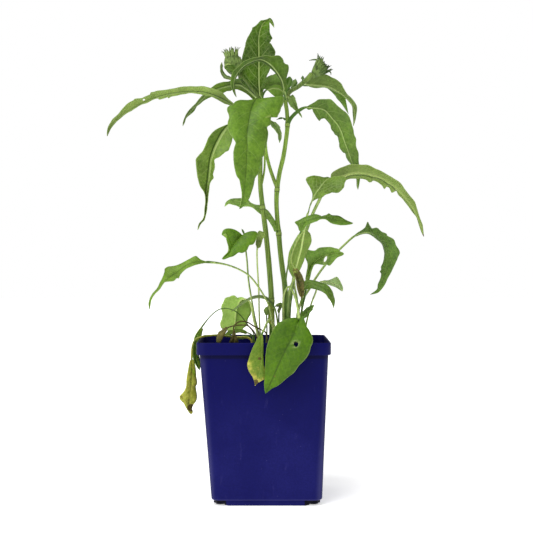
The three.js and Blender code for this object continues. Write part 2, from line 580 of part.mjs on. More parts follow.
    edgeB: [[6.5, 155], [6, 164], [5, 171]],
    lean: [1, 1],
  },
  {
    name: 'dead_leaf_shrivelled', foot: [0, -17], upperSeen: true, tone: 'brown', radius: 0.6,
    stalk: [
      [-0.5, 146, -19], [-4, 148.5, -20], [-8, 150.5, -21], [-12, 152.5, -23], [-16, 155.5, -25],
      [-20, 156.5, -27], [-24.5, 156, -29], [-28, 154, -31], [-29.5, 150.5, -32], [-29.5, 147.5, -32],
    ],
    rib: [[-29, 145, -33], [-29.5, 141.5, -33], [-29.5, 137, -32]],
    edgeA: [[-31.5, 144.5], [-32, 141], [-31.5, 138.5]],
    edgeB: [[-27, 145], [-26, 141.5], [-27.5, 138]],
    lean: [2, 2],
  },
  {
    name: 'dead_leaf_mottled', foot: [-3.5, -18.5], upperSeen: true, tone: 'mottled', radius: 0.6,
    stalk: [
      [-10.5, 146, -23], [-13.5, 150, -27], [-17.5, 153, -30], [-27, 153, -37], [-32, 152, -39],
      [-35, 151, -40],
    ],
    rib: [[-38, 149, -41], [-41.5, 146.5, -42], [-44, 143, -42], [-45, 138, -41]],
    edgeA: [[-39, 151.5], [-42.5, 149], [-46, 144.5], [-46.5, 140.5]],
    edgeB: [[-36, 147.5], [-39.5, 144], [-41.5, 141], [-43, 138.5]],
    lean: [2, -2],
  },
  {
    name: 'leaf_low_strip', foot: [-13, -1], upperSeen: true, tone: 'dark', radius: 0.6,
    stalk: [[-13, 144, -1], [-16.5, 146, 0]],
    rib: [[-22.5, 148, 1], [-28, 147.5, 2], [-34, 146, 3], [-38.5, 143, 4]],
    edgeA: [[-18.5, 148], [-23, 149.5], [-28.5, 149], [-34.5, 147.5]],
    edgeB: [[-18.5, 145], [-23, 146.5], [-27.5, 146], [-33, 144.5]],
    lean: [2, -2],
  },
  {
    name: 'leaf_low_green', foot: [-13.5, 4.5], upperSeen: true, tone: 'mid', radius: 0.6,
    stalk: [[-11.5, 143, 8], [-15, 143, 14]],
    rib: [[-18.5, 142.5, 20], [-22, 141.5, 26], [-25.5, 140.5, 31]],
    edgeA: [[-18, 144], [-22, 143.5]],
    edgeB: [[-18.5, 141], [-22, 140.5]],
    lean: [2, -2],
  },
  {
    name: 'leaflet_junction_dark', on: 'stem_right', upperSeen: true, tone: 'dark', radius: 0.6,
    stalk: [[17.5, 359.5, 8], [18, 363.5, 4], [18.5, 366.5, 2]],
    rib: [[20, 370, 1], [21, 374, 0], [21, 377.5, -1]],
    edgeA: [[17, 369], [17.5, 373.5], [19, 376.5]],
    edgeB: [[21, 368], [23, 371.5], [23, 375.5]],
    lean: [1, 1],
  },
  {
    name: 'leaflet_junction_light', on: 'stem_right', upperSeen: true, tone: 'mid', radius: 0.6,
    stalk: [[20.5, 362.5, 8], [22, 365.5, 12], [22.5, 367.5, 14]],
    rib: [[24, 370, 15], [25.5, 372.5, 16], [26.5, 375.5, 17]],
    edgeA: [[22, 370.5], [23, 373]],
    edgeB: [[25.5, 368.5], [27.5, 372]],
    lean: [1, 1],
  },
  {
    name: 'bract_left', on: 'stem_left', upperSeen: false, tone: 'mid', radius: 0.6,
    stalk: [[-21, 376, -1], [-25, 375, -3], [-29, 375, -5]],
    rib: [[-33, 376, -6], [-37, 378.5, -6], [-40.5, 382.5, -6], [-40, 390.5, -5]],
    edgeA: [[-31.5, 378], [-35.5, 381], [-37.5, 384.5], [-39, 387.5]],
    edgeB: [[-33, 374.5], [-38, 376], [-42, 381], [-42, 386.5]],
    lean: [2, -2],
  },
  {
    name: 'bract_right', on: 'stem_right', upperSeen: true, tone: 'dark', radius: 0.5,
    stalk: [[34, 372.5, 9], [33, 374, 6], [32.5, 375, 4]],
    rib: [[32.5, 376.5, 3.5], [33, 378.5, 3]],
    edgeA: [[31, 376]],
    edgeB: [[34, 376]],
    lean: [0.5, 0.5],
  },
];

// Geometry helpers

function indexed(points, faces) {
  const geometry = new THREE.BufferGeometry();
  geometry.setAttribute('position', new THREE.Float32BufferAttribute(points.flat(), 3));
  geometry.setIndex(faces.flat());
  return geometry;
}

// A closed solid through rings of equally many points, each ring turning anticlockwise as seen
// from the last ring looking back at the first.
function loft(rings) {
  const count = rings[0].length;
  const faces = [];
  for (let i = 1; i < rings.length; i++) {
    for (let j = 0; j < count; j++) {
      const next = (j + 1) % count;
      const a = (i - 1) * count;
      const b = i * count;
      faces.push([a + j, a + next, b + next], [a + j, b + next, b + j]);
    }
  }
  const last = (rings.length - 1) * count;
  for (let j = 1; j + 1 < count; j++) {
    faces.push([0, j + 1, j], [last, last + j, last + j + 1]);
  }
  return indexed(rings.flat(), faces);
}

function toSolid(geometry) {
  const plain = geometry.clone();
  plain.deleteAttribute('normal');
  plain.deleteAttribute('uv');
  const merged = mergeVertices(plain, 1e-4);
  const vertProperties = new Float32Array(merged.attributes.position.array);
  const triVerts = new Uint32Array(merged.index.array);
  return new wasm.Manifold(new wasm.Mesh({ numProp: 3, vertProperties, triVerts }));
}

function toGeometry(solid) {
  const mesh = solid.getMesh();
  const geometry = new THREE.BufferGeometry();
  geometry.setAttribute('position', new THREE.BufferAttribute(mesh.vertProperties, 3));
  geometry.setIndex(new THREE.BufferAttribute(mesh.triVerts, 1));
  return geometry;
}

// The biggest of the pieces that a cut leaves.
function mainPiece(solid) {
  const pieces = solid.decompose();
  return pieces.reduce((best, piece) => (piece.volume() > best.volume() ? piece : best));
}

// count + 1 points spread evenly by length along a smooth curve, from its point number first on.
function along(points, first, count) {
  const curve = new THREE.CatmullRomCurve3(
    points.map((p) => new THREE.Vector3(...p)), false, 'centripetal',
  );
  const dense = 16 * (points.length - 1);
  const path = [];
  for (let i = first * 16; i <= dense; i++) path.push(curve.getPoint(i / dense));
  const lengths = [0];
  for (let i = 1; i < path.length; i++) {
    lengths.push(lengths[i - 1] + path[i].distanceTo(path[i - 1]));
  }
  const result = [];
  let at = 1;
  for (let i = 0; i <= count; i++) {
    const want = (lengths.at(-1) * i) / count;
    while (at < path.length - 1 && lengths[at] < want) at++;
    const part = (want - lengths[at - 1]) / (lengths[at] - lengths[at - 1] || 1);
    result.push(path[at - 1].clone().lerp(path[at], Math.min(1, part)));
  }
  return result;
}

const asDrawn = (v) => place([v.x, v.y, v.z]);
const lift = (point, way, by) => point.clone().addScaledVector(way, by).toArray();
const spread = (middle, side, up, s, u) =>
  middle.clone().addScaledVector(side, s).addScaledVector(up, u).toArray();

// Directions along a row of points.
function tangents(row) {
  return row.map((_, i) =>
    row[Math.min(i + 1, row.length - 1)].clone().sub(row[Math.max(i - 1, 0)]).normalize(),
  );
}

// A round rod along drawn points [x, z, y, radius], with the first end cut level if it has a foot.
function rod(points, sides, steps, extra, level) {
  const middles = along(points.map((p) => p.slice(0, 3)), 0, steps).map(asDrawn);
  const radii = along(points.map((p) => [p[3], p[1], 0]), 0, steps).map((v) => v.x + extra);
  const ways = tangents(middles);
  let side = new THREE.Vector3(1, 0, 0);
  const rings = middles.map((middle, i) => {
    side = side.clone().addScaledVector(ways[i], -side.dot(ways[i])).normalize();
    const up = new THREE.Vector3().crossVectors(ways[i], side);
    return Array.from({ length: sides }, (_, j) => {
      const turn = (2 * Math.PI * j) / sides;
      const point = spread(middle, side, up, radii[i] * Math.cos(turn), radii[i] * Math.sin(turn));
      if (level && i === 0) point[2] = SOIL_TOP + GAP;
      return point;
    });
  });
  return loft(rings);
}

// Pot and soil

// A square ring with rounded corners, anticlockwise from above.
function squareRing(width, corner, z, middle) {
  const steps = 4;
  const inner = width / 2 - corner;
  const ring = [];
  [[1, 1], [-1, 1], [-1, -1], [1, -1]].forEach(([sx, sy], quarter) => {
    for (let i = 0; i <= steps; i++) {
      const turn = ((quarter + i / steps) * Math.PI) / 2;
      ring.push([
        middle + sx * inner + corner * Math.cos(turn), sy * inner + corner * Math.sin(turn), z,
      ]);
    }
  });
  return ring;
}

// The foot's outline: a square with its corners cut off straight.
function footRing(inset, z) {
  const half = POT_BASE / 2 - 1.6 - inset;
  const straight = FOOT_SIDE / 2 - inset * Math.tan(Math.PI / 8);
  return [
    [half, -straight], [half, straight], [straight, half], [-straight, half],
    [-half, straight], [-half, -straight], [-straight, -half], [straight, -half],
  ].map(([x, y]) => [x + BASE_MIDDLE, y, z]);
}

const LIP_BOTTOM = POT_HEIGHT - LIP_HEIGHT;
const WALL_TOP = POT_RIM - 2 * LIP_STEP; // outer width just under the lip
const rise = (z) => (z - FOOT_HEIGHT) / (LIP_BOTTOM - FOOT_HEIGHT);
const wallWidth = (z) => POT_BASE + (WALL_TOP - POT_BASE) * rise(z);
const middleAt = (z) => BASE_MIDDLE + ((RIM_MIDDLE - BASE_MIDDLE) * z) / POT_HEIGHT;
const wallRing = (inset, z) => squareRing(wallWidth(z) - 2 * inset, 8.5 - inset, z, middleAt(z));
const lipRing = (inset, z) => squareRing(POT_RIM - 2 * inset, 7.5 - inset / 2, z, RIM_MIDDLE);

function pot() {
  const bottom = FOOT_HEIGHT;
  const outside = loft([
    wallRing(0.8, bottom), wallRing(0, bottom + 1), wallRing(0, LIP_BOTTOM),
    lipRing(0.4, LIP_BOTTOM + 0.4), lipRing(0, LIP_BOTTOM + 1.4), lipRing(0, POT_HEIGHT - 1),
    lipRing(0.4, POT_HEIGHT),
  ]);
  const foot = loft([footRing(0.6, 0), footRing(0, bottom + 0.6)]);
  const inside = loft([
    wallRing(POT_WALL, bottom + FLOOR), wallRing(POT_WALL, LIP_BOTTOM + 1.2),
    lipRing(POT_WALL + 0.4, LIP_BOTTOM + 2.4), lipRing(POT_WALL, POT_HEIGHT + 1),
  ]);
  const well = loft([footRing(POT_WALL + 0.6, FLOOR), footRing(POT_WALL, bottom + FLOOR + 0.5)]);
  let shell = toSolid(outside).add(toSolid(foot)).subtract(toSolid(inside)).subtract(toSolid(well));
  const reach = POT_BASE / 2 - 8;
  for (const [sx, sy] of [[1, 1], [-1, 1], [-1, -1], [1, -1]]) {
    const drain = new THREE.CylinderGeometry(DRAIN_RADIUS, DRAIN_RADIUS, 20, 12);
    drain.rotateX(Math.PI / 2).translate(BASE_MIDDLE + sx * reach, sy * reach, 0);
    shell = shell.subtract(toSolid(drain));
  }
  return toGeometry(mainPiece(shell));
}

function soil() {
  const bottom = FOOT_HEIGHT + FLOOR + GAP;
  const fill = loft([wallRing(POT_WALL + GAP, bottom), wallRing(POT_WALL + GAP, SOIL_TOP)]);
  const plug = loft([
    footRing(POT_WALL + 0.6 + GAP, FLOOR + GAP), footRing(POT_WALL + GAP, bottom + 0.5),
  ]);
  return toGeometry(toSolid(fill).add(toSolid(plug)));
}

// Leaves

// The two margins of a blade as rows of points beside its rib, with the upper side facing the
// way it should.
function margins(leaf, rib, steps) {
  const [baseX, baseZ] = leaf.stalk.at(-1);
  const [tipX, tipZ] = leaf.rib.at(-1);
  const margin = (edge, lean) => {
    const route = [[baseX, baseZ], ...edge, [tipX, tipZ]].map(([x, z]) => [x, z, 0]);
    return along(route, 0, steps).map((v, i) => {
      const swell = Math.sin((Math.PI * i) / steps) ** 0.7;
      return place([v.x, v.y, rib[i].z + lean * swell]);
    });
  };
  const rows = [margin(leaf.edgeA, leaf.lean[0]), margin(leaf.edgeB, leaf.lean[1])];
  const half = Math.floor(steps / 2);
  const way = asDrawn(rib[half + 1]).sub(asDrawn(rib[half - 1]));
  const upper = way.cross(rows[1][half].clone().sub(rows[0][half]));
  return upper.y < 0 === leaf.upperSeen ? rows : rows.reverse();
}

// Rings of six points for the blade: under and over one margin, the rib and the other margin.
function bladeRings(leaf, spine, steps) {
  const rib = along(spine, spine.length - leaf.rib.length - 1, steps);
  const [rowA, rowB] = margins(leaf, rib, steps);
  const middles = rib.map(asDrawn);
  const ways = tangents(middles);
  const ups = middles.map((_, i) =>
    new THREE.Vector3().crossVectors(ways[i], rowB[i].clone().sub(rowA[i])),
  );
  ups[0] = ups[1].clone();
  ups[steps] = ups[steps - 1].clone();
  const ends = { 0: leaf.radius, [steps]: LEAF_THICKNESS / 2 };
  const rings = middles.map((middle, i) => {
    const up = ups[i].normalize();
    if (i in ends) {
      const across = new THREE.Vector3().crossVectors(up, ways[i]).normalize();
      rowA[i] = middle.clone().addScaledVector(across, -ends[i]);
      rowB[i] = middle.clone().addScaledVector(across, ends[i]);
    }
    const edge = LEAF_THICKNESS / 2;
    const keel = edge + KEEL * (1 - i / steps);
    return [
      lift(rowA[i], up, -edge), lift(middle, up, -keel), lift(rowB[i], up, -edge),
      lift(rowB[i], up, edge), lift(middle, up, keel), lift(rowA[i], up, edge),
    ];
  });
  return { rings, up: ups[0] };
}

// Rings of six points round the stalk, from its seat up to the blade.
function stalkRings(leaf, stalk, steps, bladeUp) {
  const middles = along(stalk, 0, steps).map(asDrawn);
  const ways = tangents(middles);
  let side = new THREE.Vector3().crossVectors(bladeUp, ways[steps]).normalize();
  const rings = [];
  for (let i = steps - 1; i >= 0; i--) {
    side = side.clone().addScaledVector(ways[i], -side.dot(ways[i])).normalize();
    const up = new THREE.Vector3().crossVectors(ways[i], side);
    const radius = leaf.radius * (1 + STALK_TAPER * (0.5 - i / steps));
    rings.unshift([-150, -90, -30, 30, 90, 150].map((degrees) => {
      const turn = THREE.MathUtils.degToRad(degrees);
      const point = spread(middles[i], side, up, radius * Math.cos(turn), radius * Math.sin(turn));
      if (leaf.foot && i === 0) point[2] = SOIL_TOP + GAP;
      return point;
    }));
  }
  return rings;
}

function leafBody(leaf) {
  const foot = leaf.foot ? [drawn(...leaf.foot, SOIL_TOP + GAP)] : [];
  const stalk = [...foot, ...leaf.stalk];
  const bladeSteps = leaf.rib.length < 5 ? 7 : 11;
  const stalkSteps = Math.min(stalk.length, 7);
  const blade = bladeRings(leaf, [...stalk, ...leaf.rib], bladeSteps);
  return loft([...stalkRings(leaf, stalk, stalkSteps, blade.up), ...blade.rings]);
}

// A bud's head: its outline turned round its axis.
function budHead({ middle, facing, outline }) {
  const profile = outline.map(([radius, height]) => new THREE.Vector2(radius, height));
  const head = new THREE.LatheGeometry(profile, 14);
  const turn = new THREE.Quaternion().setFromUnitVectors(
    new THREE.Vector3(0, 1, 0), new THREE.Vector3(...facing).normalize(),
  );
  head.applyQuaternion(turn);
  const at = place(middle);
  return head.translate(at.x, at.y, at.z);
}

// The plant and its pot

const plant = new THREE.Group();

function addPiece(name, geometry, color, roughness) {
  const material = new THREE.MeshStandardMaterial({ color, roughness, metalness: 0 });
  const mesh = new THREE.Mesh(geometry, material);
  mesh.name = name;
  plant.add(mesh);
}

addPiece('pot', pot(), 0x1c1a66, 0.45);
addPiece('soil', soil(), 0x3a2a1e, 1);

const rodOf = (stem, extra) => {
  const points = stem.foot
    ? [[...drawn(...stem.foot, SOIL_TOP + GAP), stem.points[0][3]], ...stem.points]
    : stem.points;
  return toSolid(rod(points, 8, 2 * stem.points.length, extra, Boolean(stem.foot) && !extra));
};
const clearance = {};
const seated = (solid, carrier) => mainPiece(solid.subtract(clearance[carrier]));

for (const stem of STEMS) {
  clearance[stem.name] = rodOf(stem, GAP);
  const bare = rodOf(stem, 0);
  addPiece(stem.name, toGeometry(stem.on ? seated(bare, stem.on) : bare), TONES.stem, 0.6);
}
for (const bud of BUDS) {
  addPiece(bud.name, toGeometry(seated(toSolid(budHead(bud)), bud.on)), TONES[bud.tone], 0.7);
}
for (const leaf of LEAVES) {
  const body = toSolid(leafBody(leaf));
  addPiece(leaf.name, toGeometry(leaf.on ? seated(body, leaf.on) : body), TONES[leaf.tone], 0.65);
}

export default plant;
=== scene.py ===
"""A purple coneflower, Echinacea purpurea, before it opens, in a square blue nursery pot.

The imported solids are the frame. The pot, the soil and each stem, leaf and bud are made again here
as fine meshes in the same places. Sizes are in millimetres until a mesh is built."""
import math
import zlib

import bpy
import numpy as np
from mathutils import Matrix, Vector, noise


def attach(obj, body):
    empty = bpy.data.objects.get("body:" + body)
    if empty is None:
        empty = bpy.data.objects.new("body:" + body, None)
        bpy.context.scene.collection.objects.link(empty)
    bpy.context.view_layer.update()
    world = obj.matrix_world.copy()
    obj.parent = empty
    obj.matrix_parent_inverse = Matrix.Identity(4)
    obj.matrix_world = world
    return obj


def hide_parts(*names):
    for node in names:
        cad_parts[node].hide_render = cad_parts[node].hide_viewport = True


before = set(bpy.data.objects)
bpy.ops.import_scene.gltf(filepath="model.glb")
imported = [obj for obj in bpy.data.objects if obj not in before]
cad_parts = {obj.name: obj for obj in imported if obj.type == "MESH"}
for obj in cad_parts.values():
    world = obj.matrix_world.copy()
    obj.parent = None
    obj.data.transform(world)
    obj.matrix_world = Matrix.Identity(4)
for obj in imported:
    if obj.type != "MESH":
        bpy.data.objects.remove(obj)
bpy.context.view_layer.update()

MM = 0.001
RING = 24  # points round a stem
PER_SPAN = 24  # curve points between two drawn points of a stem or leaf

# The plant is drawn as it looks from the front. A drawn point holds x, z and y, where x and z
# are measured on the upright plane through the pot's middle, as seen from a point 1 m in front
# of it, and y is how far the real point lies behind that plane.
VIEW_DISTANCE = 1000
VIEW_HEIGHT = 206

POT_RIM = 115.5  # outer width across the lip
POT_HEIGHT = 141
POT_BASE = 96  # outer width at the bottom edge
POT_WALL = 1.3
POT_FLOOR = 1.5
FOOT_HEIGHT = 4.6
FOOT_SIDE = 67  # straight length of each side of the foot
LIP_HEIGHT = 10.8
LIP_STEP = 2.3  # how far the lip stands out from the wall
DRAIN_RADIUS = 4.5  # of the holes cut in the foot
BASE_MIDDLE = 0.4  # x of the pot's middle at its foot, and at its rim
RIM_MIDDLE = -2.4
SOIL_TOP = 133
ROOTED = 1.5  # how far stems and stalks reach into the soil

LEAF_THICKNESS = 0.42
HALF_COLUMNS = 8  # columns of points on each half of a blade
BLADE_STEP = 0.8  # spacing of the stations along a blade
STALK_STEP = 2.2  # and along a stalk
FEWEST_BLADE_STEPS = 12
FEWEST_STALK_STEPS = 4
RUFFLE_LENGTH = 17  # length of the margins' waves
TOOTH_LENGTHS = (5.5, 7)
VEIN_GAP = 4.0  # least spacing of side veins
VEIN_SLANT = 0.9  # how far a side vein runs towards the tip in each mm that it runs outwards
VEIN_CURVE = 0.5  # and how much further at the margin
RIB_START = 0.8  # half width of a midrib at its base, in stalk radii, over that at its tip
RIB_END = 0.18  # half width of a midrib at its tip
KEEL = 0.8  # how far a midrib stands out below, in half widths
KEEL_GROOVE = 0.22  # and how far it is sunk above
SEAT_WIDTH = 1.15  # radius of a stalk at its seat, as a share of its usual radius
STALK_TAPER = 0.17  # and how much of it is lost on the way to the blade
STALK_FLARE = 0.5  # extra radius where a stalk leaves a stem
FLARE_LENGTH = 3
STALK_GROOVE = 0.22  # depth of the groove along a stalk's upper side, in radii
GROOVE_SPREAD = 28  # and its half width in degrees

# What every leaf has unless its own entry says otherwise. Pairs are values at the base and the tip
LEAF_DEFAULTS = dict(
    camber=0.09,  # how far each half of the blade bulges up, as a share of its width
    ruffle=0.5,  # height of the margins' waves
    quilt=0.16,  # strength of the folds between side veins
    teeth=0.7,  # how far the teeth stand out
    veins=9,  # number of side veins on each half
    vein_tone=0.16,  # how clearly they show
    rib_wide=1.0,  # half width of the midrib's colour
    rib_tone=(0.7, 0.7),  # from -1 for a dark groove of painted shade to 1 for a pale rib
    rib_shadow=0.0,  # darkness of a painted shadow line on the midrib's left, from above towards the tip. Below 0, right
    stalk_tone=0.45,  # how pale the stalk is
    yellow=(0, 0),  # how much of it is yellow, and brown
    brown=(0, 0),
    shade=0.0,  # how much lighter, duller and otherwise tinted its green is; the lightness is partly painted light and shade
    dull=0.0,
    hue=0.0,
    light_shade_and_tone_patches=(),  # patches of painted light and shade, and of the leaf's own lighter and darker tone: x, z, radius and change
    spots=(),  # brown spots: x, z, radius and strength
)
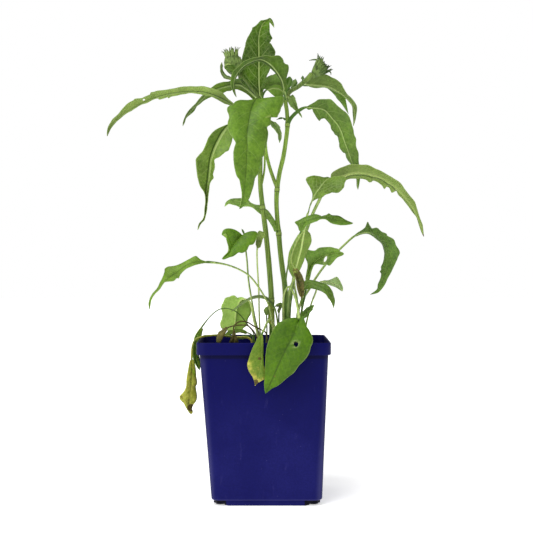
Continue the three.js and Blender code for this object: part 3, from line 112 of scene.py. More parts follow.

# on is what a leaf grows from, and foot is x and y of a seat in the soil. seen is the face that the
# drawing shows, and radius the stalk's. stalk and rib are the middle line, as drawn points. edge_a
# and edge_b are the margins, as drawn x and z from base to tip, and lean is how far each lies
# behind the rib halfway along. A hole has x, z, half width, half height and tilt in degrees. node
# is the solid that a leaf stands for, if that isn't its own name. stalk_radius, stalk_brown and
# shadow_at, the distance of the painted shadow line from the rib, stand only where they differ from
# radius, from brown at the base, and from one and a half times rib_wide.
LEAVES = {
    "leaf_long_left": dict(
        on="stem_left", seen="under", slot="leaf_underside", radius=1.1, lean=(-9, 8),
        hole=(-110.7, 356.4, 1.1, 0.9, 0), rib_tone=(-0.9, -0.7), teeth=0.15, camber=0.16,
        stalk_tone=0.4, rib_wide=0.55, shade=-0.11, dull=-0.02,
        light_shade_and_tone_patches=[
            (-60, 367.2, 12.6, 0.12), (-38.4, 357.2, 8.2, -0.4), (-48.4, 362.6, 5.4, -0.1),
            (-91.6, 363.6, 9, 0.05), (-134.2, 340.2, 8.2, -0.15), (-142.2, 328.4, 5.4, -0.3),
        ],
        stalk=[(-5.2, 337.4, -4), (-13, 341.4, -7), (-21.2, 345.6, -9)],
        rib=[
            (-34.4, 355.2, -11), (-55.6, 363.6, -13.6), (-73.6, 364.2, -15.8), (-89.8, 361.8, -17.2),
            (-105.2, 357, -17.8), (-117.8, 350.6, -18), (-132.4, 341.6, -16.4), (-138.2, 336, -15.2),
            (-141.8, 330.2, -14.6), (-143.8, 323.6, -14),
        ],
        edge_a=[
            (-34.8, 357.2), (-38, 360.8), (-42, 364.2), (-56.2, 368.4), (-81.8, 367.2), (-91, 365.2),
            (-99.2, 364.4), (-101.8, 363.8), (-104.4, 363.2), (-105.2, 361), (-109.4, 359.2),
            (-112.8, 358), (-119.2, 357.6), (-120.4, 356.2), (-123.4, 354.2), (-129, 349.4), (-135.4, 342),
            (-139.2, 338.4), (-143, 332.2), (-144, 325.6),
        ],
        edge_b=[
            (-34.6, 352), (-37.4, 352.8), (-46.6, 357.8), (-58.6, 361.6), (-75.2, 361.8), (-80.4, 360.4),
            (-86.4, 359.2), (-88.4, 358), (-89.4, 359.2), (-96.8, 356.4), (-97.8, 357.4), (-114.2, 351.4),
            (-121.8, 346.8), (-124.8, 345.2), (-127.8, 342.6), (-134.6, 337.8), (-139.8, 331.4),
        ],
    ),
    "leaf_back_left": dict(
        on="stem_left", seen="under", slot="leaf_dark", radius=1.0, lean=(-5, 7),
        rib_tone=(0.75, 0.5), teeth=0.2, rib_shadow=0.5, rib_wide=0.8, shade=-0.43, dull=-0.24, hue=0.007,
        light_shade_and_tone_patches=[
            (-43.8, 369, 7.2, 0.15), (-31.2, 370.8, 6.4, -0.25), (-18.6, 369, 7.2, -0.3),
            (-15, 361.8, 5.4, -0.2), (-71, 345.6, 7.2, -0.05),
        ],
        stalk=[(-5.4, 351, -4), (-7.4, 355.4, -1), (-9, 358.2, 5)],
        rib=[
            (-11.2, 360.4, 9), (-14.4, 363.4, 11.4), (-18.4, 366.6, 14.2), (-24.4, 370, 16.8),
            (-42, 366.8, 23.2), (-52, 362.2, 26.8), (-60, 355.4, 29.4), (-72.8, 340.4, 32),
            (-75.6, 332.8, 32),
        ],
        edge_a=[
            (-10.8, 364), (-18.6, 372), (-27.6, 374.8), (-34.6, 372.8), (-42, 372.2), (-45.8, 370.6),
            (-49.2, 367.6), (-58.2, 360.4), (-63, 354.2), (-70.6, 346.4), (-75.2, 336.6),
        ],
        edge_b=[
            (-11.2, 356.4), (-17, 361.2), (-25.2, 365.6), (-30.2, 365.8), (-32.4, 364.2), (-36, 364.2),
            (-39.8, 362.6), (-50.4, 358.8), (-53.2, 358), (-60.8, 352), (-63, 350.6), (-67.6, 344.2),
            (-72.4, 340), (-74, 335.8),
        ],
    ),
    "leaf_top_upright": dict(
        on="stem_left", seen="upper", slot="leaf_green", radius=1.7, lean=(-3, -5),
        rib_tone=(0.9, 0.9), teeth=0.2, quilt=0.3, rib_wide=0.85, vein_tone=0.4, rib_shadow=0.3,
        stalk_tone=0.8, shade=-0.49, dull=-0.35, hue=0.008,
        light_shade_and_tone_patches=[
            (-4, 423.2, 8.2, 0.3), (-9.4, 410.6, 7.2, 0.1), (1.4, 398, 10, -0.3),
            (-17.6, 399.8, 8.2, -0.15), (-15.8, 378, 8.2, 0.25), (1.4, 383.4, 6.4, 0.15),
            (-10.4, 367.2, 7.2, -0.35), (-24, 379.8, 3, -0.6), (-20.6, 374.4, 3.6, -0.5),
        ],
        stalk=[(-5.4, 355.4, -4), (-5.6, 356.8, 2), (-5.6, 358.2, 6)],
        rib=[
            (-6, 361.8, 11), (-6.6, 370.8, 12.2), (-6.8, 397.4, 14.6), (-6.6, 414.6, 13.2),
            (-3.8, 424.2, 10.6), (0, 428.2, 8.6), (3.6, 428.4, 7.4), (6.8, 421.8, 5),
        ],
        edge_a=[
            (-9, 358.8), (-12.8, 362.6), (-17.6, 366.6), (-25, 375), (-25.6, 382), (-22.2, 393.8),
            (-21.6, 397), (-19.2, 405.8), (-18.2, 410.2), (-13.4, 419.8), (-13, 421.8), (-10.8, 422.8),
            (-6.2, 427), (-5.2, 428.2), (-2.8, 428.4), (1.4, 429.6), (2.4, 430.4), (4, 430), (6.6, 425.4),
        ],
        edge_b=[
            (-4.6, 360), (-3.2, 365.8), (-1.6, 370.8), (-0.4, 375.8), (3.4, 384.4), (7.2, 394.8),
            (7.8, 400.6), (5, 405.6), (4.4, 407), (3, 407.6), (4, 409.2), (4.2, 410.6), (5.4, 411.8),
            (3.4, 416), (2.8, 422.8), (2.6, 426.6),
        ],
    ),
    "leaf_arch_over": dict(
        on="stem_right", seen="upper", slot="leaf_dark", radius=1.1, lean=(5, -7),
        rib_tone=(0.85, 0.85), teeth=0.25, rib_wide=0.85, rib_shadow=0.8, shade=-0.15, dull=-0.07,
        hue=-0.009,
        light_shade_and_tone_patches=[
            (14, 388.8, 7.2, 0.12), (15.8, 374.4, 5.4, -0.2), (-4, 393.4, 7.2, -0.25),
            (-29.4, 374.4, 7.2, 0.25),
        ],
        stalk=[(17.4, 356.4, 8), (16.8, 360, 4), (16, 363.6, 0)],
        rib=[
            (14, 373.6, -8), (4.6, 387.4, -14.6), (-4, 392.8, -18.2), (-9.4, 392.6, -19.6),
            (-20.4, 387.4, -22.2), (-27.6, 378.6, -24.4), (-29.4, 373.6, -24.8), (-29.8, 368.2, -24.2),
            (-28.8, 362.6, -23), (-27.2, 358.8, -22),
        ],
        edge_a=[(10.8, 377.2), (-5, 390.4), (-15.8, 388), (-27.6, 375.8), (-28.6, 366.4)],
        edge_b=[
            (18.8, 367.2), (17.8, 373.6), (20.2, 385.2), (19.4, 388), (17.2, 388.8), (15.6, 390.6),
            (15.2, 393), (13.4, 395.4), (11, 396.8), (5, 396), (0, 396.2), (-11.2, 394.6), (-22.2, 390),
            (-30.6, 380.8), (-32.2, 370), (-29, 361.4),
        ],
    ),
    "leaf_front_big": dict(
        on="stem_left", seen="upper", slot="leaf_green", radius=1.2, lean=(-5, 9),
        rib_tone=(-0.75, -0.55), teeth=0.15, quilt=0.3, vein_tone=0.12, rib_wide=0.6, shade=-0.02,
        dull=-0.02,
        light_shade_and_tone_patches=[
            (-30.2, 329.2, 10, 0.08), (3.2, 349.2, 11.8, 0.06), (-3.2, 327.4, 7.2, -0.15),
            (-24, 297.6, 7.2, -0.06), (-15, 297.6, 9, -0.08), (-20.4, 275, 11.8, 0.12),
        ],
        stalk=[(-5.4, 351.8, -4), (-7, 355.4, -8), (-8.8, 357.2, -13)],
        rib=[
            (-10.8, 355, -22), (-14, 347.4, -32), (-15.4, 340.2, -37.8), (-17.6, 324.8, -45.8),
            (-17.6, 315.8, -50), (-17.8, 306.6, -52), (-18.2, 297.6, -54.2), (-21, 270.6, -55.8),
            (-24.4, 258, -54),
        ],
        edge_a=[
            (-18.6, 356), (-24, 356.4), (-28.4, 354.6), (-30.8, 351.8), (-33.8, 350.6), (-35.4, 349.4),
            (-35.6, 347.4), (-34.4, 343.8), (-33.8, 340.2), (-35, 336.4), (-34.4, 329.2), (-30.2, 321.2),
            (-28, 317.6), (-29, 314), (-30, 304), (-26.8, 287.2), (-24.8, 284.2), (-22.2, 270.6),
        ],
        edge_b=[
            (-5.8, 356.8), (12.2, 359.6), (15.4, 359.6), (15, 352.4), (13.2, 349.6), (12.4, 346.2),
            (10.8, 343.4), (9.4, 340.6), (4.8, 343.4), (3.2, 333.8), (1, 332.4), (0.4, 330.6),
            (1.4, 327.4), (-0.4, 314), (-1.6, 311.6), (-1.6, 309.4), (-2.2, 306.6), (-4, 304),
            (-4.6, 300.4), (-5.8, 295), (-6.8, 290.4), (-8.8, 288.4), (-10.4, 286), (-11.2, 280.4),
            (-15.8, 267.8), (-22.2, 259.2),
        ],
    ),
    "leaf_left_hanging": dict(
        on="stem_left", seen="upper", slot="leaf_green", radius=1.0, lean=(-7, -5),
        rib_tone=(1, 0.9), teeth=0.15, quilt=0.25, rib_wide=1.3, rib_shadow=-0.8, vein_tone=0.25,
        stalk_tone=0.6, camber=-0.03, shade=0.09, dull=0.05, hue=-0.012,
        light_shade_and_tone_patches=[
            (-49.2, 317.6, 8.2, 0.12), (-38.4, 315.8, 7.2, 0.15), (-57.4, 295, 6.4, -0.1),
            (-54.6, 275, 6.4, -0.05), (-54.6, 255.2, 7.2, 0.35),
        ],
        stalk=[(-4.6, 328.4, -4), (-13, 333.8, -9), (-23, 337, -13), (-30.2, 336, -16)],
        rib=[
            (-37.4, 329.2, -18), (-45.6, 314.8, -20.8), (-48.4, 307.6, -22), (-50, 300.4, -22),
            (-50.8, 293.2, -22), (-52.6, 279.6, -21), (-53.8, 273.2, -20.4), (-56, 250.6, -18.4),
            (-59.2, 245.6, -17.8), (-62.2, 239, -17),
        ],
        edge_a=[
            (-39.2, 332.8), (-47.4, 328.4), (-53.2, 321.2), (-54.2, 317.6), (-57, 311.2), (-63.8, 302.8),
            (-63.6, 299.4), (-62.8, 288.6), (-59.6, 278.6), (-57, 274.2), (-55.2, 267), (-56, 257),
            (-57.4, 248.8), (-61, 244.4),
        ],
        edge_b=[
            (-29.8, 332), (-31.2, 319.4), (-33, 314), (-34.4, 310.4), (-37, 309.4), (-43, 304.8),
            (-46, 303.6), (-47.2, 302.2), (-46.6, 297.6), (-48.4, 289.6), (-47.6, 286), (-49.6, 283.2),
            (-52, 276.8), (-53, 264.2), (-56, 248), (-58.2, 245.8), (-60, 243.4), (-61, 240.8),
        ],
    ),
    "leaf_right_upper": dict(
        on="stem_right", seen="upper", slot="leaf_green", radius=1.1, lean=(-6, 5),
        rib_tone=(0.65, 0.65), teeth=0.15, quilt=0.25, rib_wide=0.6, rib_shadow=0.25, vein_tone=0.2,
        stalk_tone=(0.1, 0.0), stalk_radius=1.5, shade=-0.21, dull=0.03, hue=-0.002,
        light_shade_and_tone_patches=[
            (46.6, 352.8, 8.2, -0.2), (62.8, 345.6, 7.2, -0.08), (50.2, 343.8, 4.6, 0.12),
            (77.2, 322, 8.2, 0.08), (66.4, 317.6, 5.4, 0.1), (81.8, 286.8, 8.2, 0.2),
        ],
        stalk=[(19, 334.6, 8), (22.4, 340.4, 6), (28.2, 346, 4), (34.8, 349.6, 2)],
        rib=[
            (40.6, 349.2, -1), (52, 347.4, -5.4), (60.2, 338.8, -9.6), (64.4, 333.8, -11.4),
            (68, 326.8, -13.2), (70.4, 319.4, -15), (75.8, 304.6, -17.2), (81.4, 286.8, -18),
            (82.6, 275.4, -18),
        ],
        edge_a=[
            (44.6, 355.2), (46.8, 356.8), (53.6, 357.2), (58, 357), (62.6, 352.8), (68.6, 347.6),
            (73.8, 343), (77.8, 332.6), (79, 325.2), (81, 321), (80.8, 317), (81.6, 312.8), (83, 308.8),
            (83.2, 304.6), (84.4, 286.6), (83.6, 279.2),
        ],
        edge_b=[
            (38, 347.6), (41.4, 348.2), (42.2, 345.8), (48, 337.4), (48.8, 338.8), (52.4, 339.8),
            (54.4, 337.8), (57.8, 334.2), (58.4, 330), (60.2, 327.6), (61.6, 325.2), (64, 323.6),
            (66, 317.8), (65.8, 314), (69.2, 309), (71, 308.2), (72.2, 304.6), (74.2, 300.6),
            (76.4, 297.6), (81, 285.8), (81.6, 278.4),
        ],
    ),
    "leaf_right_top": dict(
        on="stem_right", seen="under", slot="leaf_green", radius=0.9, lean=(-5, 6),
        rib_tone=(0.65, 0.65), teeth=0.1, rib_wide=0.6, vein_tone=0.2, rib_shadow=0.3, stalk_tone=0.1,
        stalk_radius=1.3, shade=-0.33, hue=0.006,
        light_shade_and_tone_patches=[
            (35.6, 374.4, 6.4, -0.1), (44.8, 374.4, 7.2, -0.08), (67.2, 363.6, 8.2, 0.12),
            (80, 344.6, 6.4, -0.2),
        ],
        stalk=[(30.8, 370.4, 9), (32.6, 371, 13), (34.4, 371, 16)],
        rib=[
            (37.4, 370.2, 19), (41.2, 369.8, 19.4), (55.6, 368.2, 20.8), (66.4, 362.8, 21.8),
            (76.4, 353.6, 22), (79, 347.4, 22), (79.6, 340.2, 22), (78.4, 332.8, 22),
        ],
        edge_a=[
            (35.2, 373), (43, 379.2), (52.8, 379.6), (59.4, 376.6), (62.6, 375.2), (67.6, 370.8),
            (69.2, 367.2), (73.4, 361.6), (75.8, 359.2), (81.2, 350.6), (80.4, 339.2),
        ],
        edge_b=[
            (36.2, 369.6), (42.2, 367.4), (55.2, 367), (66, 362), (72.6, 357), (76.6, 351.4), (78.4, 340),
        ],
    ),
    "leaf_right_top_small": dict(
        on="stem_right", seen="upper", slot="leaf_dark", radius=0.7, lean=(3, -3),
        rib_tone=(-0.3, -0.3), teeth=0.1, stalk_tone=0, shade=0.43, dull=-0.06, hue=-0.007,
        stalk=[(30.8, 370, 9), (35.6, 369.2, 22), (44.8, 369.4, 30), (52.8, 368.2, 34)],
        rib=[(61.8, 360.8, 35), (66.8, 355.4, 35), (74, 343.8, 33)],
        edge_a=[(59.8, 364.4), (63.6, 358), (67.2, 354)],
        edge_b=[(62.8, 365.4), (67.2, 361.8), (71, 358.6), (71.8, 355.4)],
    ),
    "leaf_junction_hanging": dict(
        on="stem_right", seen="upper", slot="leaf_dark", radius=0.7, lean=(-2, -2),
        rib_tone=(0.5, 0.2), rib_wide=0.8, shade=0.96, dull=0.14, hue=-0.023,
        stalk=[(17.8, 359, 8), (19.8, 361.4, 13), (21.2, 359.6, 17)],
        rib=[(23.4, 354.6, 19), (26.6, 349.6, 20), (29.8, 345.6, 20), (32, 340.2, 19)],
        edge_a=[(19.8, 358.8), (19, 355.4), (21, 351.4), (24.2, 348.2), (27.2, 346)],
        edge_b=[(23.6, 361.2), (26.2, 357.4), (28.6, 348.6), (31.8, 342)],
    ),
    "leaf_centre_back": dict(
        on="branch_centre", seen="upper", slot="leaf_green", radius=0.8, lean=(-3, -3),
        rib_tone=(0.9, 0.5), veins=6, quilt=0.35, rib_wide=0.9, vein_tone=0.4, stalk_tone=0, shade=0.55,
        dull=0.1, hue=-0.003,
        light_shade_and_tone_patches=[
            (1.4, 375.4, 4.6, -0.2), (6.8, 375.4, 4.6, 0.05), (13, 370.8, 5.4, -0.3),
            (10.4, 363.6, 5.4, -0.2),
        ],
        stalk=[(-1.4, 352.8, 3), (-3.8, 359.6, 8), (-3.4, 365.4, 14)],
        rib=[(-1.8, 369.4, 18), (0.4, 371.4, 19.8), (4.6, 370.6, 21.8), (9.4, 370.4, 23.2), (15, 369, 24)],
        edge_a=[(-2.8, 369), (0.2, 377.2), (5.8, 379.4), (9.4, 380.6), (13, 379), (15.8, 374.4)],
        edge_b=[(-2, 366.4), (1.4, 364.8), (6.8, 360), (14, 358.6), (15.8, 361.8)],
    ),
    "leaf_small_hanging": dict(
        on="branch_thin", seen="upper", slot="leaf_green", radius=0.7, lean=(-2, -2),
        rib_tone=(0.4, 0.2), rib_wide=0.7, shade=0.3, dull=0.23, hue=-0.007,
        stalk=[(-3.6, 339.2, 1), (-1, 341, 0), (1.8, 339.6, 0.4)],
        rib=[(8.6, 331, 1.6), (11.2, 324.8, 2), (11.8, 317.6, 2)],
        edge_a=[(2.8, 335.2), (10, 325.8), (10.6, 322)],
        edge_b=[(5.4, 337.2), (9, 335.8), (11.8, 332.4), (13.8, 323)],
    ),
    "leaf_mid_left": dict(
        on="stem_right", seen="upper", slot="leaf_green", radius=0.9, lean=(5, -5),
        rib_tone=(0.2, 0.2), teeth=0.15, stalk_tone=0.4, shade=0.82, dull=0.12, hue=-0.008,
        light_shade_and_tone_patches=[(-28.4, 264.2, 5.4, -0.1), (-4, 258, 6.4, 0.1)],
        stalk=[(11.6, 234.4, 8), (10.6, 236.2, 7), (9.6, 237.6, 6)],
        rib=[
            (8.2, 240.2, 6), (6.4, 244.8, 6), (2.2, 251.6, 5.4), (-4, 257, 3.2), (-12.2, 260.6, -0.2),
            (-19.4, 263.6, -3.2), (-27.6, 264.2, -6.2), (-33.8, 263, -8.4), (-37.8, 260.2, -10),
        ],
        edge_a=[
            (8.2, 245.6), (3.8, 253.6), (-3.2, 260), (-6.6, 261.6), (-8.8, 261.8), (-14.6, 263.4),
            (-16.4, 265.6), (-19.4, 267.4), (-30, 267.4), (-36.4, 264.2),
        ],
        edge_b=[
            (7.4, 237.4), (5.6, 241.2), (1, 248), (-16.4, 260.2), (-24, 259.6), (-27, 260.8),
            (-30.8, 261.8), (-33, 262.6), (-35.2, 262.2),
        ],
    ),
    "leaf_folded_left": dict(
        foot=(-6, -10), seen="upper", slot="leaf_green", radius=0.9, lean=(-2, -3),
        rib_tone=(-0.5, 0.0), teeth=0.1, quilt=0.3, vein_tone=0.15, stalk_tone=0.3, stalk_radius=0.8,
        rib_wide=0.8, shade=-0.15, dull=-0.06, hue=0.006,
        light_shade_and_tone_patches=[
            (-33, 237.2, 5.4, 0.08), (-25.8, 231.8, 3.6, -0.15), (-18.6, 230, 5.4, 0),
            (-28.4, 220.8, 6.4, 0.12),
        ],
        stalk=[
            (-6.8, 143.2, -11), (-10.4, 159.4, -17), (-13, 174, -22), (-15.6, 189.2, -24),
            (-16.6, 198.2, -25), (-17.6, 211.8, -25), (-19, 222.6, -24.4), (-21.2, 233.2, -25),
        ],
        rib=[(-25.2, 231.2, -28), (-33.4, 220.8, -33), (-37, 216, -34), (-40.2, 212.8, -35)],
        edge_a=[
            (-20.2, 234.4), (-15.6, 237.4), (-9.4, 237.6), (-8, 235.8), (-10.8, 227.2), (-12.6, 225.4),
            (-15, 225.4), (-16.4, 223.4), (-17.8, 220.6), (-22.4, 218.2), (-24, 219), (-25.4, 218.6),
            (-30, 215.2), (-33, 214.4), (-39, 212.2),
        ],
        edge_b=[
            (-23.2, 235.6), (-28.4, 239.2), (-34.6, 240.4), (-39, 239), (-40.4, 234.2), (-37.2, 236),
            (-36, 234.8), (-36.4, 231.4), (-33.6, 220.6), (-35.6, 218.6), (-39.4, 214.4),
        ],
    ),
    "leaf_curled_left": dict(
        foot=(-4, -5), seen="under", slot="leaf_underside", radius=0.7, lean=(-2, -2),
        rib_tone=(0, 0), shade=-0.1, stalk_tone=(0.4, 0.6), rib_wide=0.7,
        light_shade_and_tone_patches=[(-5.8, 236.2, 3.6, -0.1), (-7.6, 227.2, 4.6, -0.5)],
        stalk=[(-5.8, 146, -6), (-6.6, 164.8, -8), (-7, 184.8, -10), (-8.4, 210, -12), (-8.4, 221.8, -13)],
        rib=[(-6.8, 229.4, -13), (-5, 233.6, -14), (-2.2, 236.6, -15)],
        edge_a=[(-9.8, 227.6), (-8.8, 231.4), (-8.4, 235.4), (-7.4, 237.4), (-5, 238)],
        edge_b=[(-5.2, 224.2), (-3.8, 230), (-2, 233), (-1.6, 235.6)],
    ),
    "leaf_left_arch_lower": dict(
        foot=(8, -13), seen="upper", slot="leaf_green", radius=1.15, lean=(5, -6),
        rib_tone=(-0.3, -0.5), teeth=0.1, quilt=0.2, vein_tone=0.15, stalk_tone=(0.9, 0.6),
        stalk_radius=0.75, rib_wide=0.6, shade=0.04, dull=-0.02, hue=-0.005,
        light_shade_and_tone_patches=[(-69.2, 211.8, 5.4, 0.15), (-85.4, 201, 6.4, -0.1), (-102.6, 177.6, 6.4, 0.15)],
        stalk=[
            (6.4, 144, -15), (4.6, 159.4, -20), (1.8, 171.6, -25), (-2, 179, -27.6), (-6.2, 186, -30),
            (-15.2, 197.4, -32), (-22.8, 202.4, -33.6), (-30.4, 205.8, -34.4), (-37.6, 208, -35.6),
            (-45.8, 209.4, -37), (-52.4, 210, -38),
        ],
        rib=[
            (-57.4, 210, -41), (-63.6, 209.8, -42), (-72, 207, -43.4), (-82.6, 199.2, -45.4),
            (-91.6, 193, -46.4), (-94.6, 189.2, -46.8), (-104, 176.6, -46.8), (-105.6, 167, -46),
        ],
        edge_a=[
            (-59.2, 212), (-61.6, 213.8), (-63.6, 215.4), (-69.2, 213), (-82, 206.6), (-85.6, 205.8),
            (-88.8, 205.8), (-92, 203.8), (-92, 202), (-96.2, 190.8), (-98.4, 187), (-103.6, 180.2),
            (-106.4, 172.8),
        ],
        edge_b=[
            (-56, 209), (-60, 208.4), (-72.8, 203.8), (-77.4, 199), (-79.6, 195.2), (-80.8, 196),
            (-84.2, 193), (-91.6, 191.6), (-93.2, 189.6), (-103, 178),
        ],
    ),
    "leaf_round_pale": dict(
        foot=(-8, 2), seen="under", slot="leaf_light", radius=0.9, lean=(4, 4),
        rib_tone=(0.8, 0.5), teeth=0.3, quilt=0.35, vein_tone=0.4, stalk_tone=0.8, rib_wide=0.8,
        shade=-0.03,
        light_shade_and_tone_patches=[
            (-31.2, 172, 7.2, 0), (-20.4, 163, 7.2, 0.35), (-24, 152.2, 5.4, 0.3),
            (-20.4, 175.8, 4.6, 0.2),
        ],
        stalk=[
            (-8.6, 146.8, 4), (-11.2, 156.8, 8), (-13, 166.6, 12), (-15.4, 174.4, 15), (-18.8, 176.4, 16),
        ],
        rib=[(-22.4, 175.8, 17), (-25.2, 172, 18), (-27, 166.6, 18), (-28, 157.6, 18), (-29, 147.2, 16)],
        edge_a=[
            (-21.4, 178.2), (-24.2, 178.4), (-26.8, 177.6), (-28, 179.4), (-30.6, 180), (-33.4, 178.8),
            (-36.2, 178.2), (-38.2, 176.4), (-39.6, 173), (-41, 169.8), (-39.8, 163.8), (-40, 160.4),
            (-42, 153.4), (-40.6, 150.2), (-38.2, 149.4), (-33.4, 147.6),
        ],
        edge_b=[
            (-16.6, 175.6), (-13.8, 164.6), (-16.6, 159), (-18, 152.8), (-20.2, 150.6), (-22.2, 148.6),
            (-25.6, 147.4),
        ],
    ),
    "leaf_over_left_rim": dict(
        foot=(-10.4, -7), seen="upper", slot="leaf_green", radius=0.8, lean=(-5, 6),
        rib_tone=(0.6, 0.4), teeth=0.15, stalk_tone=(-0.4, 0.2), stalk_radius=0.5, shade=1.1, hue=-0.014,
        stalk=[
            (-11.8, 146, -9), (-16.2, 152.2, -10), (-19.6, 157, -11), (-24.4, 163, -11),
            (-29.6, 166.4, -11), (-35.4, 168.2, -10), (-40.4, 168, -9), (-44, 166.6, -8),
            (-49.6, 162.2, -6), (-54.8, 156.2, -5), (-58.8, 150.8, -4),
        ],
        rib=[(-62.2, 146, -3), (-64.2, 138.6, -2), (-63.6, 121.6, 0), (-60.4, 112.4, 2)],
        edge_a=[
            (-59.8, 150.4), (-64.4, 143.8), (-65.6, 140.4), (-66, 136.2), (-67.2, 125.6), (-61.8, 113.8),
        ],
        edge_b=[(-57.4, 149.8), (-58, 147.2), (-58.8, 143.6), (-61.4, 132.4), (-59.6, 117.8)],
    ),
    "leaf_yellow_left": dict(
        foot=(-11.6, -14), seen="upper", slot="leaf_yellowing", radius=0.8, lean=(-4, 4),
        yellow=(0.6, 1.0), brown=(0.03, 0.18), rib_tone=(-0.5, -0.5), teeth=0.1, quilt=0.3,
        shade=1.6, dull=-0.17, hue=0.019,
        spots=[
            (-68.3, 78.5, 3.2, 0.9), (-77.5, 87.5, 2.6, 0.5), (-75.5, 84, 2.2, 0.35),
            (-70, 84, 3.4, 0.45),
        ],
        stalk=[
            (-15, 140.8, -17), (-28.4, 142.2, -19), (-37.4, 143.4, -21), (-44.8, 144, -23),
            (-52.8, 143.4, -25), (-59.2, 142.4, -26), (-64.6, 139.6, -27), (-67, 133.2, -27),
            (-67.6, 122.4, -28),
        ],
        rib=[(-67.2, 114.2, -29), (-68.6, 95.8, -31), (-69.6, 80, -30), (-68.2, 72.8, -28)],
        edge_a=[
            (-68.8, 121.6), (-72.2, 104.2), (-73.2, 95.8), (-77, 90.2), (-78.4, 88.6), (-77.6, 85.4),
            (-75, 82.6), (-73.2, 79.2), (-69.2, 73.2),
        ],
        edge_b=[
            (-66.4, 122.2), (-64.2, 115.2), (-63.6, 106.8), (-62.6, 100), (-63.6, 97.8), (-63.2, 86.2),
            (-66, 81.2), (-67.4, 77.8), (-66.6, 75), (-67.2, 73.2),
        ],
    ),
    "leaf_front_yellowing": dict(
        foot=(5, -19), seen="upper", slot="leaf_yellowing", radius=0.9, lean=(-1.5, 1.5),
        yellow=(0.05, 0.7), brown=(0.0, 0.14), rib_tone=(0.3, 0.1), teeth=0.1, quilt=0.2,
        spots=[(-6.0, 122.8, 1.3, 1.0), (-10, 101.5, 2.6, 0.75), (-14, 105, 1.6, 0.5)], vein_tone=0.2,
        stalk_tone=1, rib_wide=0.8, shade=-0.21, dull=-0.07, hue=-0.003,
        light_shade_and_tone_patches=[(-2.2, 132.4, 3.6, -0.1), (-3.2, 119.8, 3.6, 0.15), (-13, 128.8, 6.4, -0.05)],
        stalk=[
            (7.2, 148.6, -21), (6.2, 155.2, -24), (3.4, 158, -29), (0.4, 155, -40), (-2.2, 149, -54),
            (-4, 145.2, -60),
        ],
        rib=[(-4.2, 139.6, -62.4), (-5, 119.8, -63.6), (-6.6, 110.6, -63), (-10.4, 98.2, -62)],
        edge_a=[(-6.2, 143.8), (-12.4, 132.6), (-16.6, 120.8), (-17.4, 118), (-16, 111.8), (-12.2, 105.6)],
        edge_b=[
            (-3.4, 143.8), (-2.8, 134.8), (-3, 125), (-2.4, 117.4), (-1.2, 113.8), (-1, 105.6),
            (-7.6, 101),
        ],
    ),
    "leaf_front_hole": dict(
        foot=(14.4, -8), seen="upper", slot="leaf_green", radius=1.2, lean=(1.5, -2),
        hole=(26.7, 136.0, 2.1, 2.8, 0), rib_tone=(0.1, -0.6), teeth=0.15, quilt=0.3,
        spots=[(7.5, 106.7, 0.9, 0.8)], vein_tone=0.06, stalk_tone=(-0.1, 1.4), rib_wide=0.8,
        stalk_radius=0.85, shade=-0.36, dull=-0.3, hue=0.01,
        light_shade_and_tone_patches=[
            (31.2, 155.8, 5.4, 0.1), (15.8, 148.6, 8.2, -0.08), (35.6, 141.4, 7.2, 0.08),
            (8.6, 130.6, 8.2, -0.1), (3.2, 99, 7.2, 0.12), (21.2, 116, 7.2, -0.05),
        ],
        stalk=[
            (15, 148.6, -10), (15, 172, -15), (15.8, 180.8, -18), (17.8, 185.8, -21), (20.8, 188, -25),
            (23.6, 183.8, -32), (26, 177.6, -38), (28.4, 165.8, -50), (29.4, 157.6, -58),
        ],
        rib=[
            (29, 155.6, -63), (26.2, 148.2, -65.2), (14.2, 124.4, -68), (4.4, 102.2, -66.2),
            (-1, 91.2, -65),
        ],
        edge_a=[
            (28.2, 159), (25, 159.8), (17.6, 158.4), (14.2, 156.8), (11, 155.2), (8.2, 152.4),
            (4.4, 145.8), (0, 131.8), (-1.2, 113.8), (-2, 97.4),
        ],
        edge_b=[
            (32.6, 161.8), (36.4, 151.8), (38.4, 149), (42, 139.2), (39.8, 132.6), (38.8, 128.4),
            (34.8, 122), (29.8, 117), (24.2, 109.6), (20.8, 107.2), (10.2, 98.4), (6, 96.4),
        ],
    ),
    "leaf_long_right": dict(
        foot=(24, 2), seen="under", slot="leaf_underside", radius=1.4, lean=(-9, 8),
        rib_tone=(0.6, 0.4), teeth=0.1, camber=0.16, rib_wide=1.5, rib_shadow=0.8, stalk_tone=(-0.5, 0.1),
        spots=[(142.3, 233.6, 1.9, 0.9)], shadow_at=4.2, shade=-0.19,
        light_shade_and_tone_patches=[
            (66.4, 291.4, 8.2, -0.25), (78.2, 295, 7.2, -0.15), (113.4, 278.6, 10.8, 0.1),
            (131.4, 257, 9, 0.12),
        ],
        stalk=[
            (20.6, 148.6, 1.6), (21, 170.2, 0.4), (23.2, 186.6, -0.4), (27.6, 210, -3), (35.4, 236.2, -6),
            (41, 251.8, -10), (47, 264.6, -14), (52.8, 276, -18), (58.8, 282.8, -21),
        ],
        rib=[
            (64.6, 285.6, -24), (71, 287.8, -26.4), (75.4, 289.4, -28), (86.2, 290, -30.6),
            (102.6, 286, -32.6), (113.4, 279.6, -33), (124.2, 268.8, -32.2), (132.8, 256.6, -30.6),
            (139.2, 242.2, -28.4), (142, 233, -27),
        ],
        edge_a=[
            (58, 286.4), (58.8, 290), (65.8, 294.6), (71, 296.4), (75.4, 298.2), (86.2, 297.8),
            (91.6, 297.4), (108, 289.4), (118.4, 283.6), (125.2, 275), (133.6, 264.2), (139, 247.6),
            (140.8, 242.6),
        ],
        edge_b=[
            (61, 275), (62.8, 276), (65.2, 279.6), (68.2, 282.2), (75.4, 285.2), (80.8, 285),
            (89.8, 284.6), (92.6, 282.2), (94.4, 282.2), (96.2, 283.6), (104.4, 279.2), (106.6, 276.2),
